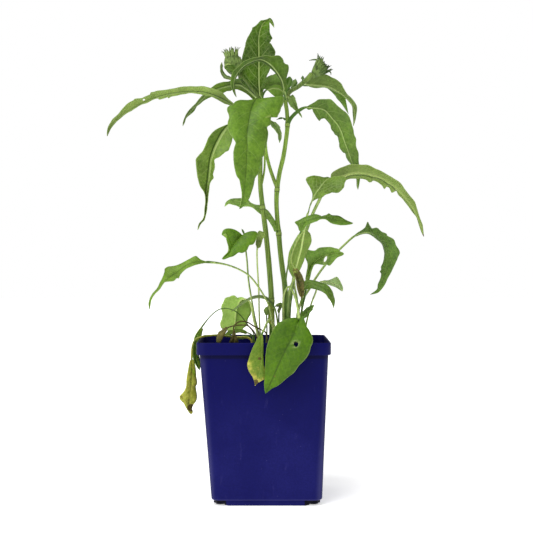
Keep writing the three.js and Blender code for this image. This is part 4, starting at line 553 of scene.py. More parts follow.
            (108, 278), (110.6, 276.8), (113, 272.4), (117, 274.6), (119.6, 271), (133.2, 253.4),
            (136.4, 247.4), (140.4, 235.8),
        ],
    ),
    "leaf_right_folded": dict(
        foot=(21, -5), seen="under", slot="leaf_green", radius=1.0, lean=(-2, -2),
        rib_tone=(0.7, 0.5), quilt=0.3, teeth=0.2, rib_wide=0.6, vein_tone=0.45, stalk_tone=(-0.6, 1.0),
        stalk_radius=0.85, shade=-0.4, dull=-0.11, hue=0.01,
        light_shade_and_tone_patches=[
            (40.2, 284.2, 3.6, 0.15), (46.6, 278.6, 4.6, -0.3), (61.8, 285, 6.4, 0.1),
            (57.4, 276.8, 5.4, -0.25), (50.2, 270.6, 3.6, 0.2), (66.4, 276.8, 3.6, -0.2),
        ],
        stalk=[
            (30.2, 148.6, -6), (29.2, 164.8, -12), (27.4, 177.6, -15), (25.2, 190.2, -20),
            (26.6, 204.6, -25), (31.4, 222.6, -28), (33.2, 233.6, -30), (36.6, 251.6, -33),
        ],
        rib=[
            (43.2, 270, -47), (48.6, 277.6, -50.8), (51.4, 281.2, -48.4), (54.2, 284, -42.4),
            (57.4, 286.2, -38),
        ],
        edge_a=[
            (41.8, 270), (41.2, 273.2), (35.6, 285), (39.6, 287.6), (47.4, 287.8), (52, 286.6),
            (55.2, 287),
        ],
        edge_b=[
            (42.6, 267.4), (46.6, 267.8), (50.6, 268.4), (53.4, 270.6), (57, 271.8), (60, 273),
            (63.2, 272.4), (65.4, 273), (70, 277.8), (70.6, 281.8), (72.2, 285.6), (70, 287.2),
            (60, 287.2),
        ],
    ),
    "leaf_right_wavy": dict(
        foot=(18.4, -9.6), seen="upper", slot="leaf_green", radius=0.7, lean=(5, -5),
        rib_tone=(-0.2, -0.2), teeth=0.1, vein_tone=0.2, stalk_tone=(-0.2, 0.9), shade=-0.11, hue=0.003,
        light_shade_and_tone_patches=[(31.2, 244.4, 4.6, -0.15), (43.8, 249.8, 5.4, 0.1), (61.8, 247, 5.4, -0.1)],
        stalk=[
            (18, 148.6, -9.6), (17, 175.8, -10), (17.4, 192.8, -16), (19.4, 206.4, -24),
            (22.2, 217.2, -27), (26.2, 228.2, -30), (29.4, 234, -33), (31, 237.4, -35),
        ],
        rib=[
            (33.8, 244.4, -37), (38.4, 247.6, -38), (48.4, 250.2, -38), (54.6, 249.8, -39),
            (61.8, 248, -40), (71, 246.4, -40), (78.2, 245.2, -39),
        ],
        edge_a=[
            (29.6, 238.4), (28.4, 242.2), (26.6, 244.6), (25.4, 245.8), (29.8, 248.2), (36.8, 251.4),
            (44, 253.4), (46.2, 252.6), (47.8, 250.8), (50.6, 251.6), (54.2, 252.2), (56.2, 253.4),
            (58.4, 252.2), (65.4, 251.8), (72.8, 247.4),
        ],
        edge_b=[
            (32.2, 237.6), (34.4, 240.8), (36.8, 243.2), (42.4, 246), (45.8, 246.6), (48.6, 248.2),
            (53.4, 248.6), (58.4, 245.6), (64.6, 243.4), (77.4, 244.4),
        ],
    ),
    "leaf_right_upright": dict(
        foot=(20, -13.6), seen="under", slot="leaf_underside", radius=1.0, lean=(3, 3),
        rib_tone=(0.75, 0.6), teeth=0.15, quilt=0.1, rib_wide=0.55, stalk_tone=(-1.2, 0.3),
        stalk_radius=1.3, shade=-0.11, dull=-0.07, hue=0.007,
        light_shade_and_tone_patches=[(39.2, 237.2, 4.6, -0.2), (35.6, 224.4, 4.6, -0.1), (27.6, 210, 6.4, 0.05)],
        stalk=[(19.8, 148.6, -14), (19.2, 170.2, -15), (20.8, 183.8, -16), (24.4, 194.2, -17.6)],
        rib=[
            (26.2, 202.4, -19), (22.6, 210, -20.4), (23.2, 217.2, -21.8), (30.8, 234, -24),
            (34.8, 239, -25),
        ],
        edge_a=[(19.6, 204.6), (20, 217.2), (29.4, 235.6)],
        edge_b=[(29.8, 202), (37.4, 220.6), (40.6, 229), (39.2, 236.2)],
    ),
    "leaf_dry_brown": dict(
        foot=(29, -8.4), seen="upper", slot="leaf_dry", radius=0.8, lean=(-3, -3),
        brown=(0.6, 0.5), rib_tone=(0, 0), teeth=0.15, ruffle=1.3, quilt=1.6,
        shade=0.1, vein_tone=0, stalk_brown=0, stalk_tone=0.5,
        light_shade_and_tone_patches=[
            (25.6, 202.4, 2.8, 2.2), (31.6, 182, 4.2, -1.3), (28.2, 197, 1.6, -0.6),
            (30.2, 193.8, 1.6, 0.7), (28.4, 189.6, 1.8, 0.5), (32, 188.4, 1.8, -0.7),
        ],
        stalk=[(29.8, 148.6, -12), (31.8, 164.8, -20), (32, 173, -26), (31.8, 178, -29)],
        rib=[(29.4, 190.2, -31), (27.6, 197.4, -31), (26, 204.2, -30)],
        edge_a=[(30.2, 179), (25.4, 196.4), (24.2, 203.8)],
        edge_b=[(33.2, 179.2), (34.2, 185.2), (31.6, 199.2), (27.8, 204.2)],
    ),
    "leaf_right_lower": dict(
        foot=(28, 6), seen="upper", slot="leaf_green", radius=0.9, lean=(-4, -5),
        hole=(53.3, 212.6, 1.2, 2.9, -24), rib_tone=(0.8, 0.5), teeth=0.1, quilt=0.3, vein_tone=0.3,
        stalk_tone=0.4, rib_wide=0.7, shade=0.12, dull=0.03,
        light_shade_and_tone_patches=[
            (41.2, 218.2, 5.4, 0.12), (57.4, 220.8, 6.4, 0.1), (52.8, 211.8, 5.4, -0.25),
            (37.4, 204.6, 5.4, -0.2), (64.6, 216.4, 4.6, 0.05),
        ],
        stalk=[(29, 148.6, 5), (32.6, 170.2, 1), (34.6, 179.4, -2), (35.8, 186.6, -4), (36.8, 192, -6)],
        rib=[
            (37.4, 197.4, -12), (39, 203.2, -13), (41.2, 207.4, -14), (48.4, 213.6, -16.4),
            (58.6, 217.8, -18.8), (63.6, 218.6, -19.4), (70, 217.4, -20),
        ],
        edge_a=[
            (35.2, 194.2), (36, 199.6), (37, 207.8), (36.2, 211.4), (34.8, 214.4), (35.8, 221),
            (40.2, 220.6), (43.8, 220.6), (47.2, 223), (58.4, 223.4), (61.8, 222.6), (64.6, 222),
            (66.6, 219.6), (69.2, 218.6),
        ],
        edge_b=[
            (38.2, 192.8), (43, 207.4), (45.8, 208.4), (49.4, 207.6), (52.2, 207.4), (53.4, 208.6),
            (56.6, 206.8), (63.8, 213.6), (69.2, 216.4),
        ],
    ),
    "leaf_right_arch": dict(
        foot=(31.6, 0), seen="upper", slot="leaf_dark", radius=1.0, lean=(-6, 6),
        rib_tone=(0.75, 0.0), teeth=0.1, quilt=0.3, vein_tone=0.15, stalk_tone=0.85, rib_wide=0.8,
        shade=0.04, hue=-0.004,
        light_shade_and_tone_patches=[
            (86.2, 239, 4.6, -0.3), (94.4, 242.6, 4.6, -0.25), (106.2, 227.2, 6.4, -0.1),
            (115.2, 222.6, 5.4, 0.2), (109.8, 210, 7.2, -0.08), (102.6, 186.6, 6.4, 0.15),
        ],
        stalk=[
            (27.6, 159.4, 2), (31, 173, 3), (39.2, 186.6, 4), (43.6, 194.2, 4), (52.4, 206.6, 3),
            (65.8, 221.2, 1), (71, 226.2, 0), (74.6, 229.6, -2), (78.2, 232.6, -4),
        ],
        rib=[
            (82.6, 235, -6), (91.6, 236.6, -8.2), (96.2, 235, -9.2), (106.2, 226.6, -12),
            (109.4, 220.8, -12.8), (110.6, 214.6, -13), (106.8, 198.2, -12.6), (103.6, 190.2, -11.8),
            (100.8, 184.4, -11), (93.8, 180.6, -9),
        ],
        edge_a=[
            (80.8, 235.6), (88.8, 241.2), (91.4, 246.6), (92.6, 244), (94, 241.8), (95, 240.4),
            (99.6, 241), (103.6, 238), (108.8, 235.6), (109, 234.2), (115, 230.2), (116.8, 225.4),
            (120.6, 218.8), (118.4, 213.6), (112.6, 200.4), (109.8, 195.6), (101.4, 182.8),
        ],
        edge_b=[
            (81.4, 233.4), (85.4, 235), (89.8, 235.6), (94.4, 234.4), (103.2, 227.2), (106.4, 218.6),
            (104.8, 208.8), (103.8, 205.4), (104, 203.2), (102.6, 201.4), (103.6, 199.4), (100.8, 190),
            (100, 185.8),
        ],
    ),
    "leaf_right_droop": dict(
        foot=(28, -15.6), seen="upper", slot="leaf_dark", radius=0.8, lean=(4, -4),
        rib_tone=(0.3, 0.0), teeth=0.2, stalk_tone=0.9, vein_tone=0.25, rib_wide=0.7, shade=0.11,
        dull=-0.04, hue=-0.01,
        light_shade_and_tone_patches=[(41.2, 190.2, 5.4, -0.1), (52, 187.4, 4.6, 0.1), (57.4, 178.4, 5.4, -0.2)],
        stalk=[(28, 153.2, -16), (30.2, 171.6, -19), (32.4, 178.4, -21), (34.2, 185.6, -23)],
        rib=[(37.4, 190.2, -25), (52.4, 186.6, -31), (57.4, 180.2, -33), (60.8, 168.4, -33)],
        edge_a=[
            (34.4, 192.8), (38.8, 193.8), (52.8, 190.6), (55.2, 188.8), (59.4, 183.4), (60.6, 179.4),
            (61.8, 175.2),
        ],
        edge_b=[(35.6, 184.8), (38.8, 186), (50.4, 183.2), (57, 176.2)],
    ),
    "leaf_right_low_pale": dict(
        foot=(33, 8.4), seen="under", slot="leaf_underside", radius=0.8, lean=(-4, 4),
        rib_tone=(0.5, 0.3), teeth=0.1, shade=0.25, dull=0.21, hue=0.016,
        light_shade_and_tone_patches=[(62.8, 192.8, 4.6, 0.1), (54.6, 192.8, 3.6, -0.15)],
        stalk=[
            (35.2, 150.4, 9), (40.2, 171.6, 11), (44.8, 183.8, 12), (46.2, 189.6, 13), (49.2, 192.2, 13),
        ],
        rib=[(53.4, 192, 14), (63.6, 189.2, 16), (68.6, 183.6, 17)],
        edge_a=[(52, 193.4), (55.2, 193.4), (61.8, 195.8), (63.6, 196.4), (69, 186.8)],
        edge_b=[(52.8, 190.2), (61.8, 187.6), (67.6, 184)],
    ),
    "leaf_small_low": dict(
        foot=(24.4, -19), seen="upper", slot="leaf_dark", radius=0.7, lean=(-1.5, -1.5),
        rib_tone=(0.2, 0.2), shade=0.23, dull=-0.02,
        stalk=[(26.2, 146, -20), (29.4, 154, -21), (32, 159, -22)],
        rib=[(34.8, 163, -23), (43.2, 171.2, -25)],
        edge_a=[(31.8, 164), (39.6, 170.8)],
        edge_b=[(35.2, 159.4), (41.4, 167)],
    ),
    "leaf_narrow_arch": dict(
        foot=(10, -6.4), seen="upper", slot="leaf_dark", radius=0.8, lean=(3, -3),
        rib_tone=(-0.4, -0.4), teeth=0.05, camber=0.3, shade=0.41, dull=0.2, hue=-0.023,
        stalk=[(10.4, 148.6, -9), (9.2, 161.2, -12), (6.4, 170.2, -14)],
        rib=[
            (-2.2, 177.6, -15.8), (-11.8, 177.6, -16), (-16.8, 175.4, -16.2), (-25.8, 169.4, -18),
            (-31.6, 165.4, -18),
        ],
        edge_a=[(3.4, 175.8), (0, 178.6), (-8.6, 179.8), (-22.2, 173.4)],
        edge_b=[(1, 175), (-5.8, 177.4), (-14, 176), (-27, 167.8)],
    ),
    "leaf_small_dark": dict(
        foot=(12.4, -2.4), seen="upper", slot="leaf_dark", radius=0.7, lean=(1, 1),
        rib_tone=(0, 0), shade=0.9, dull=0.16, hue=-0.03,
        stalk=[(11.2, 148.6, -3.6), (11.2, 156.8, -4.4), (11.2, 162.2, -5.6)],
        rib=[(12, 168.4, -7), (12.6, 171.8, -8.4), (10, 171.6, -10.4), (7.4, 169.6, -11.6)],
        edge_a=[(9.8, 166.6), (10.8, 169.6)],
        edge_b=[(13, 167.6), (15, 172), (11.8, 173.4), (9, 172)],
    ),
    "leaf_curled_base": dict(
        foot=(-0.8, -12), seen="upper", slot="leaf_dark", radius=0.6, lean=(1.5, 1.5),
        rib_tone=(0, 0), shade=0.53, dull=0.08, hue=-0.017,
        stalk=[(0.4, 148.6, -13), (0.2, 155.8, -14), (0, 161.2, -14.4)],
        rib=[(-0.4, 167.2, -15.6), (0.2, 169.8, -15)],
        edge_a=[(-1.8, 164), (-2, 167.6)],
        edge_b=[(2, 164), (2.2, 167.2)],
    ),
    "leaf_base_sheath": dict(
        foot=(4.2, -9.6), seen="upper", slot="leaf_dry", radius=1.0, lean=(1, 1),
        rib_tone=(0, 0), brown=(0.15, 0.3), shade=1.2, dull=-0.04, hue=0.026,
        stalk=[(4.4, 145, -10), (4, 153.2, -10.2)],
        rib=[(3.6, 167.6, -10.6), (2.6, 174.2, -11)],
        edge_a=[(1.8, 155), (1.4, 164), (1.2, 171.2)],
        edge_b=[(6.4, 155), (6.2, 164), (5.2, 171.2)],
    ),
    "dead_leaf_shrivelled": dict(
        foot=(0, -17), seen="upper", slot="leaf_dry", radius=0.6, lean=(2, 2),
        rib_tone=(-0.9, -0.9), brown=(0.95, 1.0), ruffle=1, quilt=0.5, teeth=0.5,
        shade=0.25, camber=0.35, stalk_tone=0,
        light_shade_and_tone_patches=[(-32, 139.6, 2.8, -0.2), (-27.6, 141.4, 1.8, 0.5)],
        stalk=[
            (-0.4, 146, -19), (-4, 148.4, -20), (-7.8, 150.4, -21), (-12.2, 152.6, -23),
            (-16.2, 155.2, -25), (-20, 156.4, -27), (-24.2, 156.2, -29), (-28, 154, -31),
            (-29.8, 150.4, -32), (-29.4, 147.8, -32),
        ],
        rib=[(-29, 145, -33), (-29.4, 141.4, -33), (-29.8, 137.2, -32)],
        edge_a=[(-30.4, 146.8), (-30.8, 144), (-33.6, 137)],
        edge_b=[(-28.6, 146.8), (-28, 144), (-25.2, 138.6), (-25.6, 136.6)],
    ),
    "dead_leaf_mottled": dict(
        foot=(-3.6, -18.4), seen="upper", slot="leaf_dry", radius=0.6, lean=(2, -2),
        rib_tone=(-0.8, -0.8), brown=(0.75, 0.85), ruffle=1, quilt=0.6, teeth=0.3,
        shade=0.15, camber=0.3, stalk_tone=0,
        light_shade_and_tone_patches=[(-40.2, 146.8, 2.8, -0.3), (-37.4, 145, 2.2, 0.6), (-43.2, 140.4, 2.8, -0.3)],
        stalk=[
            (-10.6, 146, -23), (-13.6, 149.8, -27), (-17.6, 152.8, -30), (-27, 152.8, -37),
            (-31.8, 152, -39), (-34.8, 150.8, -40),
        ],
        rib=[(-41.4, 146.4, -42), (-44, 142.8, -42), (-45, 137.8, -41)],
        edge_a=[(-36, 151.4), (-38.6, 150.2), (-40.8, 148.2), (-43.2, 146.4), (-45.2, 138.4)],
        edge_b=[(-35.2, 149.2), (-39.2, 142.2), (-41.2, 137.2), (-43, 136.6)],
    ),
    "leaf_low_strip": dict(
        foot=(-13, -1), seen="upper", slot="leaf_dark", radius=0.6, lean=(2, -2),
        rib_tone=(0, 0), shade=-0.12, dull=-0.23, hue=-0.023,
        stalk=[(-13, 144, -1), (-16.8, 146, 0)],
        rib=[(-22.4, 147.8, 1), (-33.8, 146, 3), (-38.4, 143, 4)],
        edge_a=[(-18.6, 147.8), (-23, 149.4), (-34.4, 147.8)],
        edge_b=[(-18.6, 145), (-23, 146.2)],
    ),
    "leaf_low_green": dict(
        foot=(-13.6, 4.4), seen="upper", slot="leaf_green", radius=0.6, lean=(2, -2),
        rib_tone=(0, 0), shade=-0.5, dull=-0.2, hue=0.02,
        stalk=[(-11.2, 142.8, 8), (-15, 143, 14)],
        rib=[(-22.2, 141.8, 26), (-25.8, 140.4, 31)],
        edge_a=[(-18.2, 144), (-22.2, 143.4)],
        edge_b=[(-18.6, 141), (-22.2, 140.4)],
    ),
    "leaflet_junction_dark": dict(
        on="stem_right", seen="upper", slot="leaf_dark", radius=0.6, lean=(1, 1),
        rib_tone=(0.2, 0.2), shade=-0.13, dull=-0.11, hue=0.007,
        stalk=[(17.6, 359.6, 8), (18.2, 363.6, 4), (18.6, 366.6, 2)],
        rib=[(20.8, 373.8, 0), (21.2, 377.6, -1)],
        edge_a=[(16.8, 369), (19, 376.6)],
        edge_b=[(21.2, 367.8), (23, 375.4)],
    ),
    "leaflet_junction_light": dict(
        on="stem_right", seen="upper", slot="leaf_green", radius=0.6, lean=(1, 1),
        rib_tone=(0.2, 0.2), shade=-0.28, dull=0.1, hue=0.012,
        stalk=[(20.4, 362.4, 8), (21.8, 365.4, 12), (22.6, 367.6, 14)],
        rib=[(25.4, 372.6, 16), (26.4, 375.4, 17)],
        edge_a=[(21.8, 370.2), (23.2, 373.2)],
        edge_b=[(25.8, 368.2), (27.8, 372)],
    ),
    "bract_left": dict(
        on="stem_left", seen="under", slot="leaf_green", radius=0.6, lean=(2, -2),
        rib_tone=(0.2, 0.2), stalk_tone=-0.4, shade=-0.4, dull=0.18, hue=0.011,
        stalk=[(-21.2, 376.2, -1), (-25.2, 375, -3), (-29, 375, -5)],
        rib=[(-34.2, 376.2, -6), (-38, 378.4, -6), (-40.6, 382.6, -6), (-40.4, 390.4, -5)],
        edge_a=[(-32, 377), (-35.6, 378.6), (-38.4, 381.4), (-39.6, 384.8), (-39.6, 387.8)],
        edge_b=[(-32.6, 374.6), (-37.2, 375.8), (-40.4, 378.8), (-41.8, 386.8)],
    ),
    "bract_right": dict(
        on="stem_right", seen="upper", slot="leaf_dark", radius=0.5, lean=(0.5, 0.5),
        rib_tone=(0.2, 0.2), shade=-0.59, dull=-0.35, hue=0.026,
        stalk=[(33.8, 372.6, 9), (32.8, 374, 6), (32.4, 375.2, 4)],
        rib=[(32.4, 376.4, 3.6), (32.8, 378.4, 3)],
        edge_a=[(31, 375.8)],
        edge_b=[(34.2, 375.8)],
    ),
    "lobe_centre_back": dict(
        on="branch_centre", seen="upper", slot="leaf_green", radius=0.8, lean=(-1, -1),
        node="leaf_centre_back",
        rib_tone=(0.95, 0.8), rib_wide=0.9, teeth=0, quilt=0.3, veins=5, vein_tone=0.35, stalk_tone=0.1,
        stalk=[(-4.2, 357.2, 9), (-3.4, 360.4, 10.4), (-1.8, 363.6, 12), (0.4, 365.8, 13)],
        rib=[(1.8, 365.4, 14), (5.2, 366.8, 15), (10.8, 366.2, 16.4), (15, 363.6, 18)],
        edge_a=[(1, 365.4), (3.6, 368.6), (7.6, 370.2), (12.2, 369.4)],
        edge_b=[(7, 359.8), (10.8, 358.8)],
    ),
    "stipule_right": dict(
        on="stem_right", seen="upper", slot="leaf_dark", radius=0.5, lean=(0, 0),
        node=None, rib_tone=(0, 0), teeth=0, quilt=0, ruffle=0, stalk_tone=-0.5, shade=-0.3,
        stalk=[(16.8, 338.6, 7), (15.8, 339.6, 6.4), (15, 340, 6)],
        rib=[(11.8, 339.8, 5.2), (9, 338.4, 5)],
        edge_a=[(13.8, 340.8), (11.6, 340.4)],
        edge_b=[(13.8, 339.2), (11.8, 339)],
    ),
    "tip_folded_left": dict(
        on="leaf_folded_left", seen="upper", slot="leaf_dark", radius=0.45, lean=(0, 0),
        node=None, rib_tone=(0, 0), teeth=0, quilt=0, ruffle=0, stalk_tone=-0.2,
        stalk=[(-18.6, 231.4, -24.4), (-19, 232.6, -24), (-19.6, 233.8, -23.4)],
        rib=[(-21.4, 237.6, -22.6), (-22.4, 240, -22.4)],
        edge_a=[(-21.2, 235.8), (-22.2, 238)],
        edge_b=[(-19.8, 236.6), (-21, 239)],
    ),
    "sheath_junction": dict(
        on="stem_right", seen="upper", slot="leaf_dark", radius=0.6, lean=(0, 0),
        node=None, rib_tone=(-0.3, -0.3), teeth=0, quilt=0, ruffle=0, stalk_tone=-0.5, shade=-0.3,
        stalk=[(18.2, 357.2, 6), (18.2, 359, 7.6), (18, 360.6, 9)],
        rib=[(18, 363.6, 10), (19, 371.2, 12)],
        edge_a=[(16, 363), (16.4, 370.4)],
        edge_b=[(20, 363), (21.2, 366.6), (20.6, 369.8)],
    ),
    "bract_on_bud": dict(
        on="bud_left", seen="upper", slot="leaf_green", radius=0.4, lean=(0, 0),
        node=None, rib_tone=(-0.2, -0.2), teeth=0, quilt=0.1, ruffle=0, stalk_tone=0, shade=-0.35,
        stalk=[(-24.2, 382, -5), (-25.4, 382.8, -7), (-26.6, 383.4, -8)],
        rib=[(-29.8, 384.8, -9.6), (-33.4, 385.4, -10), (-38.2, 386, -8.4)],
        edge_a=[(-28.6, 386.2), (-34.4, 388.8), (-36.8, 388)],
        edge_b=[(-28.4, 381.6), (-31.6, 381.4), (-37.2, 384.2)],
    ),
    "bract_edge_on_bud": dict(
        on="bud_left", seen="upper", slot="leaf_underside", radius=0.3, lean=(0, 0),
        node=None, rib_tone=(0.5, 0.5), teeth=0, quilt=0, ruffle=0, stalk_tone=0.5, shade=-0.15,
        stalk=[(-26.2, 384.8, -8), (-28, 386.2, -9.8), (-29.8, 387.4, -10.6)],
        rib=[(-32.4, 388.6, -11), (-35.4, 388.8, -10.8), (-38.4, 386.4, -8.6)],
        edge_a=[(-32.4, 389), (-35.4, 389.2)],
        edge_b=[(-32.6, 388), (-35.2, 388)],
    ),
}


# Curves and meshes

def place(points):
    """Real points x, y, z of drawn points x, z, y."""
    p = np.asarray(points, float)
    scale = 1 + p[..., 2] / VIEW_DISTANCE
    rise = VIEW_HEIGHT + (p[..., 1] - VIEW_HEIGHT) * scale
    return np.stack([p[..., 0] * scale, p[..., 2], rise], -1)


def drawn(x, y, z):
    """The drawn point of a real one."""
    scale = 1 + y / VIEW_DISTANCE
    return (x / scale, VIEW_HEIGHT + (z - VIEW_HEIGHT) / scale, y)


def spline(points, per_span=PER_SPAN):
    """A centripetal Catmull-Rom curve through the points, as a dense row."""
    p = np.array(points, float)
    p = np.vstack([2 * p[0] - p[1], p, 2 * p[-1] - p[-2]])
    share = np.linspace(0, 1, per_span, endpoint=False)[:, None]
    rows = []
    for p0, p1, p2, p3 in zip(p, p[1:], p[2:], p[3:]):
        d0, d1, d2 = [max(np.linalg.norm(b - a) ** 0.5, 1e-3) for a, b in ((p0, p1), (p1, p2), (p2, p3))]
        t1 = ((p1 - p0) / d0 - (p2 - p0) / (d0 + d1) + (p2 - p1) / d1) * d1
        t2 = ((p2 - p1) / d1 - (p3 - p1) / (d1 + d2) + (p3 - p2) / d2) * d1
        c2, c3 = 3 * (p2 - p1) - 2 * t1 - t2, 2 * (p1 - p2) + t1 + t2
        rows.append(p1 + share * (t1 + share * (c2 + share * c3)))
    return np.vstack([*rows, p[-2:-1]])


def lengths(row):
    """How far along a row of points each one lies."""
    return np.r_[0, np.cumsum(np.linalg.norm(np.diff(row, axis=0), axis=1))]


def evenly(row, count):
    """count + 1 points spread evenly by length along a row."""
    run = lengths(row)
    at = np.linspace(0, run[-1], count + 1)
    return np.stack([np.interp(at, run, column) for column in row.T], 1)


def unit(v):
    return v / np.maximum(np.linalg.norm(v, axis=-1, keepdims=True), 1e-9)


def smooth(t, low=0.0, high=1.0):
    """0 below low and 1 above high."""
    t = np.clip((t - low) / (high - low), 0, 1)
    return t * t * (3 - 2 * t)


def blurred(rows, reach):
    """Rows of vectors averaged along the row with their neighbours."""
    weights = np.hanning(2 * reach + 3)[1:-1]
    wide = np.pad(rows, ((reach, reach), (0, 0)), mode="edge")
    return np.stack([np.convolve(c, weights / weights.sum(), "valid") for c in wide.T], 1)


def carried(ways, side):
    """A side direction carried along a row of ways with no twist."""
    sides = []
    for way in ways:
        side = unit(side - way * np.dot(side, way))
        sides.append(side)
    return np.array(sides)


def wave(rng, run, length):
    """A slow uneven wave between about -1 and 1 along a run of lengths."""
    phase = rng.uniform(0, 2 * np.pi, 3)
    turn = 2 * np.pi * run / length
    return (np.sin(turn + phase[0]) + 0.6 * np.sin(0.57 * turn + phase[1])
            + 0.4 * np.sin(1.83 * turn + phase[2])) / 1.6


def full_turn(count):
    """Angles spread evenly round a circle."""
    return 2 * np.pi * np.arange(count) / count


def seeded(name):
    """Random numbers that are the same on each run."""
    return np.random.default_rng(zlib.crc32(name.encode()))


class Shape:
    """Points, faces and three-number marks for each point, gathered into one mesh."""

    def __init__(self, *marks):
        self.points, self.faces, self.count = [], [], 0
        self.marks = {mark: [] for mark in marks}

    def add(self, points, faces, **marks):
        self.points.append(points)
        self.faces += [tuple(self.count + i for i in face) for face in faces]
        for mark, rows in self.marks.items():
            rows.append(np.broadcast_to(marks.get(mark, (0, 0, 0)), (len(points), 3)))
        self.count += len(points)

    def add_loft(self, rings, skip=(), **marks):
        """Closed body through rings of equally many points."""
        count = rings.shape[1]
        faces = [
            (i * count + j, i * count + (j + 1) % count,
             (i + 1) * count + (j + 1) % count, (i + 1) * count + j)
            for i in range(len(rings) - 1) for j in range(count) if (i, j) not in skip
        ]
        last = (len(rings) - 1) * count
        faces += [tuple(range(count))[::-1], tuple(range(last, last + count))]
        marks = {k: np.asarray(v, float).reshape(-1, 3) for k, v in marks.items()}
        self.add(rings.reshape(-1, 3), faces, **marks)

    def build(self, name, material, nodes):
        """The object, in metres, riding on the only body and standing for its CAD nodes, if any."""
        mesh = bpy.data.meshes.new(name)
        mesh.from_pydata(np.vstack(self.points) * MM, [], self.faces)
        for mark, rows in self.marks.items():
            values = mesh.attributes.new(mark, "FLOAT_VECTOR", "POINT")
            values.data.foreach_set("vector", np.vstack(rows).astype(np.float32).ravel())
        mesh.polygons.foreach_set("use_smooth", [True] * len(mesh.polygons))
        mesh.materials.append(material)
        made = bpy.data.objects.new(name, mesh)
        bpy.context.scene.collection.objects.link(made)
        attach(made, "root")
        if nodes:
            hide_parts(*nodes)
        return made


def round_rings(middles, ways, sides, radii, turn=full_turn(RING)):
    """Rings round a row of middles. radii is one number for each ring, or one for each point."""
    ups = np.cross(ways, sides)
    radii = np.asarray(radii).reshape(len(middles), -1, 1)
    around = np.cos(turn)[None, :, None] * sides[:, None] + np.sin(turn)[None, :, None] * ups[:, None]
    return middles[:, None] + radii * around


# Leaves

def margin_rows(leaf, rib, steps):
    """The two margins of a blade as rows of real points beside its rib, A and then B, so that
    the way along the rib crossed with the way from A to B gives the upper side."""
    base, tip = leaf["stalk"][-1][:2], leaf["rib"][-1][:2]
    swell = np.clip(np.sin(np.pi * np.arange(steps + 1) / steps), 0, 1) ** 0.7
    rows = []
    for edge, lean in zip((leaf["edge_a"], leaf["edge_b"]), leaf["lean"]):
        row = evenly(spline([base, *edge, tip]), steps)
        rows.append(place(np.column_stack([row, rib[:, 2] + lean * swell])))
    half = steps // 2
    middles = place(rib)
    upper = np.cross(middles[half + 1] - middles[half - 1], rows[1][half] - rows[0][half])
    return rows if (upper[1] < 0) == (leaf["seen"] == "upper") else rows[::-1]


def toothed(edge, middles, rng, depth):
    """A margin with small teeth that point towards the tip."""
    run = lengths(edge)
    tooth = (run / rng.uniform(*TOOTH_LENGTHS) + rng.uniform(0, 1)) % 1
    outward = unit(edge - middles)
    within = smooth(run / run[-1], 0.12, 0.3) * smooth(1 - run / run[-1], 0.06, 0.2)
    return edge + outward * (depth * within * (tooth ** 3 - 0.25))[:, None]


def half_blade(middles, ways, edge, sign, leaf, rng, vein_gap):
    """Rows of points from the rib out to one margin, on one half of a blade. Each point's share of
    the width, distance from the rib and place among the veins go with them, and the way up."""
    out = edge - middles
    width = np.linalg.norm(out, axis=1)
    up = unit(blurred(sign * np.cross(ways, out), 4))
    run = lengths(middles)
    rib = np.minimum(rib_radius(leaf, run), 0.4 * width)
    share = np.r_[0, 0.5, 1 + np.arange(HALF_COLUMNS - 1)]
    spread = (share[None] - 1).clip(0) / (HALF_COLUMNS - 2)
    off = np.minimum(share[None], 1) * rib[:, None] + spread * (width - rib)[:, None]
    f = off / np.maximum(width, 1e-6)[:, None]
    ruffle = leaf["ruffle"] * smooth(run / run[-1], 0.05, 0.3) * smooth(width, 1, 6)
    lift = leaf["camber"] * width[:, None] * 4 * f * (1 - f)
    lift += (ruffle * wave(rng, run, RUFFLE_LENGTH))[:, None] * f ** 2
    vein = (run[:, None] - VEIN_SLANT * off - VEIN_CURVE * off * f) / vein_gap
    crease = np.cos(2 * np.pi * vein) * np.sqrt(f) * (1 - f) * smooth(off, 0.5, 2.5)
    lift -= leaf["quilt"] * crease
    points = middles[:, None] + f[..., None] * out[:, None] + lift[..., None] * up[:, None]
    return points, f, off, vein, up


def rib_radius(leaf, run):
    """Half width of the midrib along the blade."""
    return leaf["radius"] * (RIB_START * (1 - run / run[-1]) ** 1.2) + RIB_END


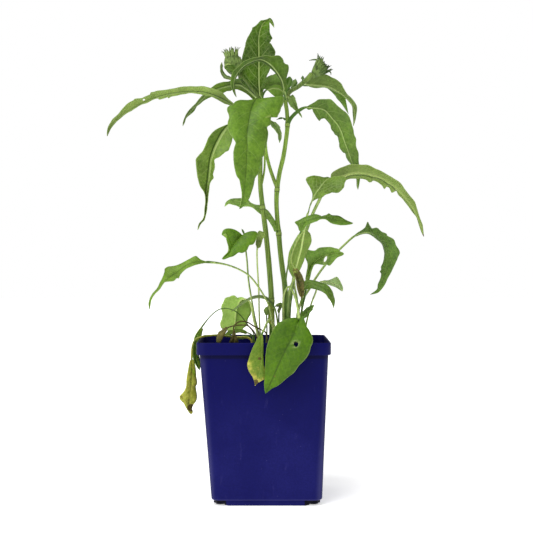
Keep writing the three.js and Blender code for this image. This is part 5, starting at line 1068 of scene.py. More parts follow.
def leaf_rings(name, leaf):
    """The rings of a leaf from its seat to its tip, and the marks of their points."""
    rng = seeded(name)
    foot = [drawn(*leaf["foot"], SOIL_TOP - ROOTED)] if "foot" in leaf else []
    dense = spline([*foot, *leaf["stalk"], *leaf["rib"]])
    split = (len(foot) + len(leaf["stalk"]) - 1) * PER_SPAN
    stalk_row, rib_row = dense[:split + 1], dense[split:]
    steps = max(FEWEST_BLADE_STEPS, round(lengths(rib_row)[-1] / BLADE_STEP))
    rib = evenly(rib_row, steps)
    middles = place(rib)
    ways = unit(np.gradient(middles, axis=0))
    edge_a, edge_b = margin_rows(leaf, rib, steps)
    edge_a = toothed(edge_a, middles, rng, leaf["teeth"])
    edge_b = toothed(edge_b, middles, rng, leaf["teeth"])
    vein_gap = max(VEIN_GAP, lengths(middles)[-1] / leaf["veins"])
    *half_a, up_a = half_blade(middles, ways, edge_a, -1, leaf, rng, vein_gap)
    *half_b, up_b = half_blade(middles, ways, edge_b, 1, leaf, rng, vein_gap)
    grid, f, off, vein = [np.concatenate([a[:, :0:-1], b], 1) for a, b in zip(half_a, half_b)]
    up = unit(blurred(up_a + up_b, 3))
    sides = unit(np.cross(up, ways))
    normals = unit(np.cross(np.gradient(grid, axis=0), np.gradient(grid, axis=1)))
    run = lengths(middles)
    radius = rib_radius(leaf, run)
    keel = np.exp(-(off / np.maximum(radius, 0.2)[:, None]) ** 2) * radius[:, None]
    under = grid - normals * (LEAF_THICKNESS / 2 + KEEL * keel)[..., None]
    over = grid + normals * (LEAF_THICKNESS / 2 - KEEL_GROOVE * keel)[..., None]
    flat = np.concatenate([under, over[:, ::-1]], 1)
    count = flat.shape[1]
    turn = 2 * np.pi * (np.arange(count) + 0.5) / count - np.pi
    tube = round_rings(middles, ways, sides, radius, turn)
    width = np.linalg.norm(edge_a - middles, axis=1) + np.linalg.norm(edge_b - middles, axis=1)
    opened = smooth(width / radius, 1.2, 4.0)[:, None, None]
    rings = tube * (1 - opened) + flat * opened

    # The stalk, from its seat up to the blade
    stalk_steps = max(FEWEST_STALK_STEPS, round(lengths(stalk_row)[-1] / STALK_STEP))
    stem = place(evenly(stalk_row, stalk_steps))
    stem_ways = unit(np.gradient(stem, axis=0))
    stem_sides = carried(stem_ways[::-1], sides[0])[::-1]
    stem_run = lengths(stem)
    share = stem_run / stem_run[-1]
    base = leaf.get("stalk_radius", leaf["radius"]) * (SEAT_WIDTH - STALK_TAPER * share)
    flare = STALK_FLARE * np.exp(-stem_run / FLARE_LENGTH) * ("on" in leaf)
    base += (radius[0] - base) * smooth(share, 0.85, 1) + flare
    groove = 1 - STALK_GROOVE * np.exp(-((np.degrees(turn) - 90) / GROOVE_SPREAD) ** 2)
    tubes = round_rings(stem, stem_ways, stem_sides, base[:, None] * groove, turn)
    if foot:
        tubes[0, :, 2] = SOIL_TOP - ROOTED
    rings = np.concatenate([tubes[:-1], rings])

    # Marks, which are the same on the upper side and the underside but for the side itself
    def over_under(values, fill):
        both = np.concatenate([values, values[:, ::-1]], 1)
        return np.concatenate([np.full((stalk_steps, count), fill), both])

    sign = np.r_[-np.ones(HALF_COLUMNS), np.ones(HALF_COLUMNS + 1)]
    along = np.concatenate([(stem_run - stem_run[-1])[:-1], run])[:, None] * np.ones(count)
    across = over_under(f * sign, 0)
    aside = over_under(off, 0)
    upper = np.tile(np.r_[np.zeros(count // 2), np.ones(count // 2)], (len(rings), 1))
    # round a stalk the side mark runs from 0 below to 1 above, and sets its painted light and shade
    upper[:stalk_steps] = 0.5 + 0.5 * np.sin(turn)
    stalk = np.concatenate([np.ones((stalk_steps, count)), np.tile(1 - opened[..., 0], (1, count))])
    stalk[stalk_steps + steps // 2:] = 0
    vein = over_under(vein, 0.5)
    marks = {
        "leaf_place": np.stack([across, along, aside], -1),
        "leaf_kind": np.stack([upper, stalk, vein], -1),
        "leaf_age_and_shade": leaf_age_and_shade(leaf, along / run[-1], rings),
        "leaf_tone": leaf_tone(leaf, rings, along / run[-1], stalk_steps),
        "leaf_line": np.broadcast_to(
            (leaf["vein_tone"], leaf["rib_wide"], leaf["rib_shadow"]), (*across.shape, 3)),
        "leaf_tint": np.broadcast_to(
            (leaf["hue"], leaf.get("shadow_at", 1.5 * leaf["rib_wide"]), 0), (*across.shape, 3)),
    }
    return rings, marks


def as_seen(points):
    """Drawn x and z of points."""
    scale = 1 + points[..., 1] / VIEW_DISTANCE
    return np.stack([points[..., 0] / scale, VIEW_HEIGHT + (points[..., 2] - VIEW_HEIGHT) / scale], -1)


def leaf_age_and_shade(leaf, along, rings):
    """How yellow and how brown each point is, and how much lighter than its green: partly its own tone and
    partly painted light and shade.
    """
    reach = np.clip(along, 0, 1)
    yellow, brown = [base + (tip - base) * reach ** 1.5 for base, tip in (leaf["yellow"], leaf["brown"])]
    brown = np.where(along < 0, leaf.get("stalk_brown", leaf["brown"][0]), brown)
    seen = as_seen(rings)
    for x, z, radius, strength in leaf["spots"]:
        apart = np.linalg.norm(seen - (x, z), axis=-1)
        brown = np.maximum(brown, strength * smooth(-apart, -1.6 * radius, -0.6 * radius))
    shade = np.full(along.shape, leaf["shade"])
    # patches of painted light and shade, and of the leaf's own tone
    for x, z, radius, strength in leaf["light_shade_and_tone_patches"]:
        apart = np.linalg.norm(seen - (x, z), axis=-1)
        shade += strength * (1 + shade) * smooth(-apart, -1.5 * radius, -0.3 * radius)
    return np.stack([yellow, brown, shade], -1)


def leaf_tone(leaf, rings, along, stalk_steps):
    """The tone of the midrib and the stalk, the pale halo of a hole, and how dull the green is."""
    base, tip = leaf["rib_tone"]
    tone = base + (tip - base) * smooth(along, 0.12, 0.3)
    tone[:stalk_steps] = np.linspace(*np.broadcast_to(leaf["stalk_tone"], 2), stalk_steps)[:, None]
    halo = np.zeros(rings.shape[:2])
    if "hole" in leaf:
        apart = across_hole(as_seen(rings), leaf["hole"])[0]
        halo = smooth(-(apart - 1) * leaf["hole"][2], -1.1, -0.3)
    return np.stack([tone, halo, np.full_like(halo, leaf["dull"])], -1)


def across_hole(seen, hole):
    """How far points lie from a hole's middle, 1 on its rim, and the point of the rim beside each."""
    x, z, wide, tall, tilt = hole
    turn = math.radians(tilt)
    spin = np.array([[math.cos(turn), -math.sin(turn)], [math.sin(turn), math.cos(turn)]])
    local = (seen - (x, z)) @ spin / (wide, tall)
    apart = np.linalg.norm(local, axis=-1)
    rim = (local / np.maximum(apart, 1e-9)[..., None] * (wide, tall)) @ spin.T + (x, z)
    return apart, rim


def hole_faces(rings, leaf):
    """Opens a hole in a blade: moves the points at its rim and says which quads go."""
    count = rings.shape[1]
    columns = count // 2
    seen = as_seen(rings[:, :columns])
    cell = (seen[:-1, :-1] + seen[1:, :-1] + seen[:-1, 1:] + seen[1:, 1:]) / 4
    gone = across_hole(cell, leaf["hole"])[0] < 1
    edge = across_hole(seen, leaf["hole"])[1]
    rim = set()
    walls = []
    for i, j in zip(*np.nonzero(gone)):
        corners = [(i, j), (i, j + 1), (i + 1, j + 1), (i + 1, j)]
        beside = [(i - 1, j), (i, j + 1), (i + 1, j), (i, j - 1)]
        for k, other in enumerate(beside):
            if not gone[other]:
                p, q = corners[k], corners[(k + 1) % 4]
                rim |= {p, q}
                walls.append((p, q))
    for i, j in rim:
        push = edge[i, j] - seen[i, j]
        for k in (j, count - 1 - j):
            rings[i, k, 0] += push[0]
            rings[i, k, 2] += push[1]
    skip = set(zip(*np.nonzero(gone)))
    skip |= {(i, count - 2 - j) for i, j in skip}
    number = lambda i, j: i * count + j
    faces = [
        (number(*p), number(*q), number(q[0], count - 1 - q[1]), number(p[0], count - 1 - p[1]))
        for p, q in walls
    ]
    return skip, faces


def make_leaf(name, drawing):
    leaf = {**LEAF_DEFAULTS, "node": name, **drawing}
    rings, marks = leaf_rings(name, leaf)
    shape = Shape(*marks)
    skip, walls = hole_faces(rings, leaf) if "hole" in leaf else ((), [])
    shape.add_loft(rings, skip, **marks)
    shape.faces += walls
    nodes = [leaf["node"]] if leaf["node"] else None
    shape.build(f"{name}_blade", MATERIALS[leaf["slot"]], nodes)


# Stems

# foot is x, y in the soil, nodes are the heights of the joints, light is the brightness at some
# heights, painted light and shade as well as the stem's own tone, and a point holds x, z, y and the
# radius there.
STEMS = {
    "stem_left": dict(
        foot=(5, -4), nodes=(259.5, 354, 175),
        light=((130, 0.75), (150, 1.0), (245, 0.95), (275, 1.15), (340, 1.0), (356, 0.6), (385, 0.5)),
        points=[
            (4.5, 175, -4, 2.4), (2.5, 204.5, -4, 2.4), (-0.5, 235.5, -4, 2.3), (-3.5, 259.5, -4, 2.2),
            (-5.5, 279.5, -4, 2.1), (-5.5, 306, -4, 2), (-5, 329.5, -4, 1.8), (-5.5, 354, -4, 1.8),
            (-9, 361.5, -3, 1.5), (-14, 367.5, -2, 1.3), (-20, 375, -1, 1.3), (-25.5, 380, -1, 1.4),
        ],
    ),
    "stem_right": dict(
        foot=(18.5, 8), nodes=(236, 275.5, 334, 359),
        light=((130, 0.7), (150, 0.8), (190, 0.95), (240, 1.3), (275, 1.5), (330, 1.45), (350, 1.0),
               (362, 0.6), (369, 0.7), (376, 0.85)),
        points=[
            (16.5, 188.5, 8, 2.4), (14.5, 203, 8, 2.4), (12.5, 219, 8, 2.3), (11, 236, 8, 2.3),
            (10, 246, 8, 2.1), (9, 263.5, 8, 2.1), (9.5, 275, 8, 2.1), (12, 291.5, 8, 2),
            (15, 304, 8, 2), (17.5, 319.5, 8, 1.9), (19, 334, 8, 1.9), (18.5, 345.5, 8, 1.8),
            (17.5, 357, 8, 1.8), (21.5, 364, 8, 1.9), (28, 368, 9, 2), (33, 372, 9.5, 2),
            (37.5, 376, 10, 2.1), (41, 380, 10, 2.2),
        ],
    ),
    "branch_centre": dict(
        nodes=(), light=((275, 1.9), (310, 2.0), (356, 1.5)),
        points=[
            (9.5, 277, 8, 1.7), (6, 286, 7.5, 1.6), (2, 298.5, 7, 1.5), (-0.5, 311, 6.5, 1.4),
            (-1, 329, 6, 1.2), (-0.5, 347.5, 5.5, 1.1), (-0.5, 356, 5, 1.1),
        ],
    ),
    "branch_thin": dict(
        nodes=(), light=((279, 2.2), (340, 2.2)),
        points=[
            (-4.5, 279, -4, 0.9), (-2, 293, -1, 0.9), (-1.5, 307.5, 0, 0.9), (-2, 325, 0.5, 0.8),
            (-3.5, 340, 1, 0.8),
        ],
    ),
}
STEM_STEP = 1.2  # spacing of the rings
STEM_RIDGES = 9
RIDGE_HEIGHT = 0.045  # as a share of the radius, like the swellings below
RIDGE_TWIST = 0.012  # radians in each mm
UNEVEN = 0.02
UNEVEN_LENGTH = 30
JOINT_SWELL = 0.22
JOINT_REACH = 2.4
JOINT_NECK = 0.07  # the narrowing just over a joint
NECK_RISE = 1.2
NECK_REACH = 0.7
JOINT_TINT_REACH = 1.8
FOOT_EXTRA = 0.2  # how much thicker a stem is in the soil


def make_stem(name, stem):
    rng = seeded(name)
    points = stem["points"]
    if "foot" in stem:
        points = [(*drawn(*stem["foot"], SOIL_TOP - ROOTED), points[0][3] + FOOT_EXTRA), *points]
    dense = spline(points)
    row = evenly(dense, round(lengths(dense)[-1] / STEM_STEP))
    middles = place(row[:, :3])
    ways = unit(np.gradient(middles, axis=0))
    sides = carried(ways, np.array([1.0, 0, 0]))
    run = lengths(middles)
    turn = full_turn(RING)
    ridges = 1 + RIDGE_HEIGHT * np.cos(STEM_RIDGES * turn[None] + RIDGE_TWIST * run[:, None])
    swell = 1 + UNEVEN * wave(rng, run, UNEVEN_LENGTH)
    joint = np.zeros(len(row))
    for z in stem["nodes"]:
        apart = (row[:, 1] - z) / np.maximum(np.abs(ways[:, 2]), 0.4)
        swell += JOINT_SWELL * np.exp(-(apart / JOINT_REACH) ** 2)
        swell -= JOINT_NECK * np.exp(-((apart - NECK_RISE) / NECK_REACH) ** 2)
        joint = np.maximum(joint, np.exp(-(apart / JOINT_TINT_REACH) ** 2))
    rings = round_rings(middles, ways, sides, row[:, 3:4] * swell[:, None] * ridges)
    wide = np.ones(RING)
    mark = np.stack([np.tile(turn / (2 * np.pi), (len(row), 1)), run[:, None] * wide,
                     joint[:, None] * wide], -1)
    light = np.interp(row[:, 1], *zip(*stem["light"]))
    shape = Shape("stem_mark", "stem_light")
    shape.add_loft(rings, stem_mark=mark, stem_light=np.repeat(light, RING)[:, None] * np.ones(3))
    shape.build(f"{name}_stalk", MATERIALS["stem"], [name])


# Buds. Outlines and paths hold points of radius and height along a bud's axis. A hue is 1 for dark
# green, 0 for pale green and below 0 for nearly white.

BRACT_SPANS = 10  # stations along a bract
BRACT_COLUMNS = np.array([-1, -0.5, 0, 0.5, 1])  # columns across a bract, as shares of its half width
BRACT_ROUNDING = 0.55  # how much thinner a bract is at its margins
GLOBE_SPANS = 30
GLOBE_COLUMNS = 40
SPIRAL_STEP = math.radians(137.5)
FLORET_WIDTH = 1.3
DOWN_SIDE = 0.3  # azimuth of the side of bud_right that faces down and gets painted shade

LEFT_BODY = [
    (1.2, -12.5), (2.2, -11.3), (4.6, -9.0), (6.6, -6.0), (7.6, -2.4), (7.7, 1.0), (6.9, 4.2),
    (5.4, 6.2), (3.0, 7.4), (0.3, 7.8),
]
RIGHT_BODY = [
    (2.2, -11.0), (2.9, -9.4), (3.9, -6.6), (5.3, -3), (6.2, 0.2), (5.6, 2.4), (3.6, 3.2), (0.3, 3.4),
]
LOOSE_BRACTS = ((2.6, -6.0, 3.6), (4.3, -8.0, 3.2), (0.4, -8.5, 3.6))  # azimuth, foot and width
HORNS = (  # azimuth in degrees, width and path of the longest tips of bud_right
    (180, 2.2, [(5.2, 1.2), (7.4, 2.6), (9.8, 0.6), (12.2, -2.8)]),
    (170, 1.7, [(5.0, 2.2), (6.4, 4.4), (9.0, 5.9), (11.8, 7.4)]),
    (200, 1.5, [(4.2, 2.4), (5.6, 5.0), (6.6, 8.4)]),
    (12, 1.6, [(5.4, 0.4), (7.6, 3.4), (9.6, 3.8), (11.4, 2.4)]),
    (-14, 1.5, [(5.2, 0.6), (7.2, 4.0), (8.8, 6.8)]),
)


def bud_axes(middle, facing):
    """The real middle of a bud and its three directions, the last along its axis."""
    axis = unit(np.array(facing, float))
    across = unit(np.cross((0, 1, 0), axis))
    return place(middle), across, np.cross(axis, across), axis


def add_bract(shape, axes, turn, path, width, cup=0.12, thick=0.35, hue=0.0, tip=0.0, twist=0.0):
    """A pointed bract at one azimuth of a bud, along a path. tip is how dark its tip is."""
    middle, x, y, axis = axes
    out = math.cos(turn) * x + math.sin(turn) * y
    tangent = -math.sin(turn) * x + math.cos(turn) * y
    row = evenly(spline(path, 6), BRACT_SPANS)
    t = np.linspace(0, 1, len(row))
    middles = middle + row[:, :1] * out + row[:, 1:2] * axis + (twist * t ** 2)[:, None] * tangent
    ways = unit(np.gradient(middles, axis=0))
    sides = unit(tangent - ways * (ways @ tangent)[:, None])
    ups = np.cross(ways, sides)
    wide = width / 2 * np.sin(np.pi * (0.12 + 0.88 * t) ** 0.8) ** 0.75 + 0.05
    u = BRACT_COLUMNS
    lift = cup * wide[:, None] * u ** 2
    body = thick / 2 * (1 - BRACT_ROUNDING * u ** 2) * np.maximum(wide[:, None] / wide.max(), 0.35)
    at = lambda offset: (middles[:, None] + (wide[:, None] * u)[..., None] * sides[:, None]
                         + offset[..., None] * ups[:, None])
    rings = np.concatenate([at(lift - body), at(lift + body)[:, ::-1]], 1)
    count = 2 * len(u)
    mark = np.stack([np.tile(np.r_[u, u[::-1]], (len(row), 1)), np.tile(t[:, None], count),
                     np.full((len(row), count), hue)], -1)
    shape.add_loft(rings, bud_mark=mark, bud_tip=np.full((len(row) * count, 3), tip))


def add_globe(shape, axes, outline, hue):
    """The closed body of a bud."""
    middle, x, y, axis = axes
    row = evenly(spline(outline, 8), GLOBE_SPANS)
    turn = full_turn(GLOBE_COLUMNS)
    radius = np.maximum(row[:, :1], 0.05) * np.ones(GLOBE_COLUMNS)
    rings = (middle + radius[..., None] * (np.cos(turn)[:, None] * x + np.sin(turn)[:, None] * y)[None]
             + row[:, 1][:, None, None] * axis)
    mark = np.tile((0.5, 0.5, hue), (len(row) * GLOBE_COLUMNS, 1))
    shape.add_loft(rings, bud_mark=mark, bud_tip=np.zeros_like(mark))


def add_tier(shape, axes, rng, outline, low, length, count, width, hue, lift):
    """A whorl of bracts laid on a bud's body, with their tips a little lifted."""
    reach, heights = np.array(outline).T
    for k in range(count):
        turn = 2 * math.pi * (k + rng.uniform(-0.2, 0.2)) / count
        long = length * rng.uniform(0.8, 1.2)
        climb = low + long * np.array([0, 0.25, 0.5, 0.75, 1.0]) + rng.uniform(-0.5, 0.5)
        away = np.interp(climb, heights, reach) + np.array([-0.15, 0.2, 0.35, 0.5, 0.55 + lift])
        add_bract(shape, axes, turn, list(zip(away, climb)), width, cup=0.25,
                  hue=hue + rng.uniform(-0.15, 0.3), tip=0.5)


def add_crown(shape, axes, rng, count, places, spreads, path_at, width, twist, hue, shaded=0.0, **look):
    """A whorl of count tips, with room for places of them. path_at gives a tip's path from one
    random number within each of the spreads. shaded is how much painted shade darkens the side that faces
    down."""
    for k in range(count):
        turn = 2 * math.pi * (k + rng.uniform(-0.3, 0.3)) / places
        path = path_at(*[rng.uniform(*spread) for spread in spreads])
        add_bract(shape, axes, turn, path, width, twist=rng.uniform(-twist, twist),
                  hue=hue + shaded * math.cos(turn - DOWN_SIDE), **look)


def add_florets(shape, axes, rng, count, reach, base, height, hue):
    """Small pointed scales in a spiral on the disc in the middle of a bud."""
    for k in range(count):
        radius = reach * math.sqrt((k + 0.5) / count)
        top = base + height * (1 - 0.4 * (radius / reach) ** 2) * rng.uniform(0.85, 1.15)
        path = [(radius * 0.9, base - 1.5), (radius, base + 0.3 * height), (radius * 1.1, top)]
        add_bract(shape, axes, k * SPIRAL_STEP, path, FLORET_WIDTH, hue=hue, tip=1.0, thick=0.5)


def make_bud_left():
    """A round head of pale bracts with a crown of thin green tips, leaning a little to the left."""
    rng = seeded("bud_left")
    axes = bud_axes(middle=(-30.2, 389.6, -1), facing=(-0.2, -0.12, 1))
    shape = Shape("bud_mark", "bud_tip")
    add_globe(shape, axes, LEFT_BODY, hue=0.75)
    tier = lambda **look: add_tier(shape, axes, rng, LEFT_BODY, **look)
    tier(low=-10.5, length=7.0, count=9, width=4.4, hue=0.5, lift=0.3)
    tier(low=-6.5, length=7.0, count=12, width=3.8, hue=0.15, lift=0.2)
    tier(low=-3.0, length=6.5, count=13, width=3.4, hue=0.1, lift=0.2)
    tier(low=0.0, length=5.6, count=13, width=2.8, hue=0.2, lift=0.5)
    for turn, low, width in LOOSE_BRACTS:
        path = [(6.4, low), (8.1, low + 2.6), (8.9, low + 5.0), (8.6, low + 7.4)]
        add_bract(shape, axes, turn, path, width, cup=0.3, hue=-0.6)
    outer = lambda out, up: [(5.4, 3.6), (6.0, 6.6), (6.4, 9.2), (7.0 + 0.5 * out, 11.4 + 0.6 * up),
                             (7.5 + out, 11.6 + up)]
    inner = lambda up, out: [(3.6, 5.5), (4.2, 8.6), (4.8, 10.8), (5.2 + out, 12.9 + up)]
    add_crown(shape, axes, rng, 20, 20, ((0.0, 3.2), (-1.8, 1.8)), outer,
              width=1.6, twist=1.6, hue=-0.05, cup=0.3, tip=1.0)
    add_crown(shape, axes, rng, 13, 13, ((-1.6, 1.9), (-1.2, 1.2)), inner,
              width=1.4, twist=1.2, hue=0.15, cup=0.3, tip=0.8)
    add_florets(shape, axes, rng, count=40, reach=4.0, base=7.6, height=2.6, hue=0.9)
    shape.build("bud_left_head", MATERIALS["bud"], ["bud_left"])


def make_bud_right():
    """A pale cup that leans to the right, with a wide crown of dark spreading tips."""
    rng = seeded("bud_right")
    axes = bud_axes(middle=(48.8, 385.3, 10), facing=(0.72, -0.12, 0.69))
    shape = Shape("bud_mark", "bud_tip")
    add_globe(shape, axes, RIGHT_BODY, hue=0.5)
    tier = lambda **look: add_tier(shape, axes, rng, RIGHT_BODY, **look)
    tier(low=-9.0, length=6.5, count=10, width=3.2, hue=0.3, lift=0.1)
    tier(low=-6.5, length=6.5, count=13, width=2.9, hue=0.8, lift=0.8)
    outer = lambda out, up: [(4.6, -4), (6.6, -0.6), (7.8, 2.6), (8.4 + out, 6.2 + up)]
    inner = lambda up, out: [(3.8, 1), (4.6, 3.6), (5.6 + out, 7.2 + up)]
    # shaded paints shade on the tips' downward side
    look = dict(hue=0.85, shaded=0.5, cup=0.25, thick=0.6, tip=1.0)
    add_crown(shape, axes, rng, 19, 17, ((-1.0, 3.4), (-2.0, 1.4)), outer, width=2.3, twist=1.4, **look)
    add_crown(shape, axes, rng, 14, 14, ((-1.2, 2.2), (-1.2, 1.0)), inner, width=1.8, twist=1, **look)
    for degrees, width, path in HORNS:
        add_bract(shape, axes, math.radians(degrees), path, width, cup=0.2, thick=1.5, hue=1.0, tip=0.6)
    add_florets(shape, axes, rng, count=40, reach=4.0, base=3.2, height=2.8, hue=1.3)
    shape.build("bud_right_head", MATERIALS["bud"], ["bud_right"])


# Pot and soil

CORNER_STEPS = 12  # points on each rounded corner of a ring
SIDE_STEPS = 12  # points along each straight side
CORNERS = ((1, 1), (-1, 1), (-1, -1), (1, -1))  # signs of x and y, anticlockwise from above
LIP_BOTTOM = POT_HEIGHT - LIP_HEIGHT
WALL_TOP = POT_RIM - 2 * LIP_STEP  # outer width just under the lip
WALL_CORNER = 8.5
WALL_BOW = 0.5  # how far the sides of the wall bulge out at mid height, and those of the lip
LIP_BOW = 0.2
LIP_CORNER = 7.5
FOOT_STEP = 1.6  # how far the foot stands in from the bottom edge of the wall
WALL_RINGS = 10
SHARP_EDGE = 38  # degrees between faces that meet at a sharp edge
NOTCH_HEIGHT = 1.2  # height of the foot's underside in the middle of each cut corner
DRAIN_INSET = 8  # from the bottom edge of the wall to the middle of a drain hole
DRAIN_SHADOW_RADIUS = 4.4  # radius of the dark plug of painted shadow in each drain hole, and how far up it starts
DRAIN_RECESS = 0.9
DRAIN_CUT = 20  # length of the cutters
DRAIN_SIDES = 32

# Outlines of the pot: points of inset and height, from the middle of the foot up the outside,
# over the lip and down the inside
FOOT_OUTSIDE = ((1.6, 0.5), (1.2, 0.05), (0.5, 0), (0.15, 0.35), (0, 0.9), (0, 4.2))
WALL_EDGE = ((1.3, -0.2), (0.6, 0), (0.15, 0.4), (0, 1.1))  # heights over the foot
LIP_EDGE = ((1.3, 0.05), (0.45, 0.15), (0.1, 0.55), (0, 1.3))  # heights over the bottom of the lip
LIP_TOP = (  # heights over the top of the pot
    (0, -4), (0, -1.0), (0.1, -0.45), (0.35, -0.1), (0.65, 0), (0.95, -0.1), (1.2, -0.45), (POT_WALL, -1),
)

SOIL_STEP = 1.1  # spacing of the points of the soil's surface
SOIL_GAP = 0.15  # between the soil and the wall
SOIL_DEPTH = 8
SOIL_SINK = 0.7  # how far the surface lies below SOIL_TOP on average
SOIL_SLOPE = 9  # width of the strip along the wall where it falls away, and by how much
SOIL_FALL = 1.2
CRUMBS = 520
CRUMB_MARGIN = 2.5
CRUMB_SIZES = (0.5, 1.6)
CRUMB_SIDES = 5
CRUMB_LEVELS = (-0.6, 0.1, 0.65)  # heights of a crumb's rings on a sphere of radius 1
CRUMB_SINK = 0.8  # how far the middle of a crumb lies below SOIL_TOP, but for the lumps
BIG_CRUMB = 1.7  # how much bigger every thirteenth crumb is
BIG_EVERY = 13


def square_ring(width, corner, z, middle, bow=0.0):
    """A square ring with rounded corners, anticlockwise from above, its sides bowed out a little."""
    inner = width / 2 - corner
    ring = []
    for quarter, (sx, sy) in enumerate(CORNERS):
        for i in range(CORNER_STEPS + 1):
            turn = (quarter + i / CORNER_STEPS) * math.pi / 2
            ring.append((sx * inner + corner * math.cos(turn), sy * inner + corner * math.sin(turn)))
        end = np.array(ring[-1])
        turn = (quarter + 1) * math.pi / 2
        out = np.array((math.cos(turn), math.sin(turn)))
        start = inner * np.array(CORNERS[(quarter + 1) % 4]) + corner * out
        for i in range(1, SIDE_STEPS):
            share = i / SIDE_STEPS
            bulge = bow * 4 * share * (1 - share)
            ring.append(tuple(end + (start - end) * share + out * bulge))
    ring = np.array(ring)
    return np.column_stack([ring[:, 0] + middle, ring[:, 1], np.full(len(ring), z)])


def middle_at(z):
    """x of the pot's middle at a height."""
    return BASE_MIDDLE + (RIM_MIDDLE - BASE_MIDDLE) * z / POT_HEIGHT


def wall_ring(inset, z):
    rise = (z - FOOT_HEIGHT) / (LIP_BOTTOM - FOOT_HEIGHT)
    width = POT_BASE + (WALL_TOP - POT_BASE) * rise
    bow = WALL_BOW * math.sin(math.pi * min(max(rise, 0), 1)) ** 0.5
    return square_ring(width - 2 * inset, WALL_CORNER - inset, z, middle_at(z), bow)


def lip_ring(inset, z):
    return square_ring(POT_RIM - 2 * inset, LIP_CORNER - inset / 2, z, RIM_MIDDLE, LIP_BOW)


def foot_ring(inset, z):
    """A ring of the foot: a square whose corners are cut off straight, and rise a little there."""
    half = POT_BASE / 2 - FOOT_STEP - inset
    corner = half - FOOT_SIDE / 2 + inset * math.tan(math.pi / 8)
    ring = square_ring(2 * half, corner, z, BASE_MIDDLE)
    for first in range(0, len(ring), CORNER_STEPS + SIDE_STEPS):
        a, b = ring[first].copy(), ring[first + CORNER_STEPS].copy()
        for i in range(1, CORNER_STEPS):
            ring[first + i] = a + (b - a) * i / CORNER_STEPS
            ring[first + i, 2] = min(a[2], NOTCH_HEIGHT)
    return ring


def drain_middles():
    """The middles of the drain holes, one at each corner of the foot."""
    reach = POT_BASE / 2 - DRAIN_INSET
    return [np.array((BASE_MIDDLE + sx * reach, sy * reach, 0)) for sx, sy in CORNERS]


def make_drain_filling():
    """Dark plugs of painted shadow in the drain holes, which open at the cut corners of the foot."""
    shape = Shape()
    for middle in drain_middles():
        ends = middle + np.array(((0, 0, DRAIN_RECESS), (0, 0, FOOT_HEIGHT)))
        ways, sides = np.array([(0, 0, 1)] * 2), np.array([(1, 0, 0)] * 2)
        shape.add_loft(round_rings(ends, ways, sides, np.full(2, DRAIN_SHADOW_RADIUS)))
    shape.build("drain_filling", MATERIALS["pot_plastic"], None)


def make_pot():
    """The pot, with its drain holes cut out of the foot."""
    floor = FOOT_HEIGHT + POT_FLOOR
    rings = [
        *[foot_ring(inset, z) for inset, z in FOOT_OUTSIDE],
        *[wall_ring(inset, FOOT_HEIGHT + z) for inset, z in WALL_EDGE],
        *[wall_ring(0, z) for z in np.linspace(FOOT_HEIGHT + 4, LIP_BOTTOM - 0.5, WALL_RINGS)],
        wall_ring(0, LIP_BOTTOM),
        *[lip_ring(inset, LIP_BOTTOM + z) for inset, z in LIP_EDGE],
        *[lip_ring(inset, POT_HEIGHT + z) for inset, z in LIP_TOP],
        lip_ring(POT_WALL, LIP_BOTTOM + 2.4), wall_ring(POT_WALL, LIP_BOTTOM + 0.9),
        wall_ring(POT_WALL, floor + 1), wall_ring(POT_WALL + 1, floor), foot_ring(POT_WALL, floor - 0.1),
        foot_ring(POT_WALL + 0.6, POT_FLOOR + 0.4), foot_ring(POT_WALL + 1.2, POT_FLOOR),
    ]
    shape = Shape()
    shape.add_loft(np.array(rings))
    made = shape.build("pot_moulding", MATERIALS["pot_plastic"], ["pot"])
    cutters = []
    for middle in drain_middles():
        bpy.ops.mesh.primitive_cylinder_add(
            vertices=DRAIN_SIDES, radius=DRAIN_RADIUS * MM, depth=DRAIN_CUT * MM)
        cutter = bpy.context.object
        cutter.location = Vector(middle) * MM
        cutters.append(cutter)
        cut = made.modifiers.new("drain", "BOOLEAN")
        cut.operation, cut.solver, cut.object = "DIFFERENCE", "EXACT", cutter
    bpy.context.view_layer.update()
    whole = made.evaluated_get(bpy.context.evaluated_depsgraph_get())
    made.data = bpy.data.meshes.new_from_object(whole)
    made.modifiers.clear()
    for cutter in cutters:
        bpy.data.objects.remove(cutter)
    made.data.polygons.foreach_set("use_smooth", [True] * len(made.data.polygons))
    made.data.set_sharp_from_angle(angle=math.radians(SHARP_EDGE))


def lumpy(x, y):
    """Height of the soil's surface above its middle level: lumps, clods, crumbs and grains."""
    at = Vector((x, y, 0))
    return (1.3 * noise.noise(at / 19) + 0.9 * noise.noise(at / 5.5)
            + 0.55 * noise.noise(at / 2.1) + 0.3 * abs(noise.noise(at / 0.9)))


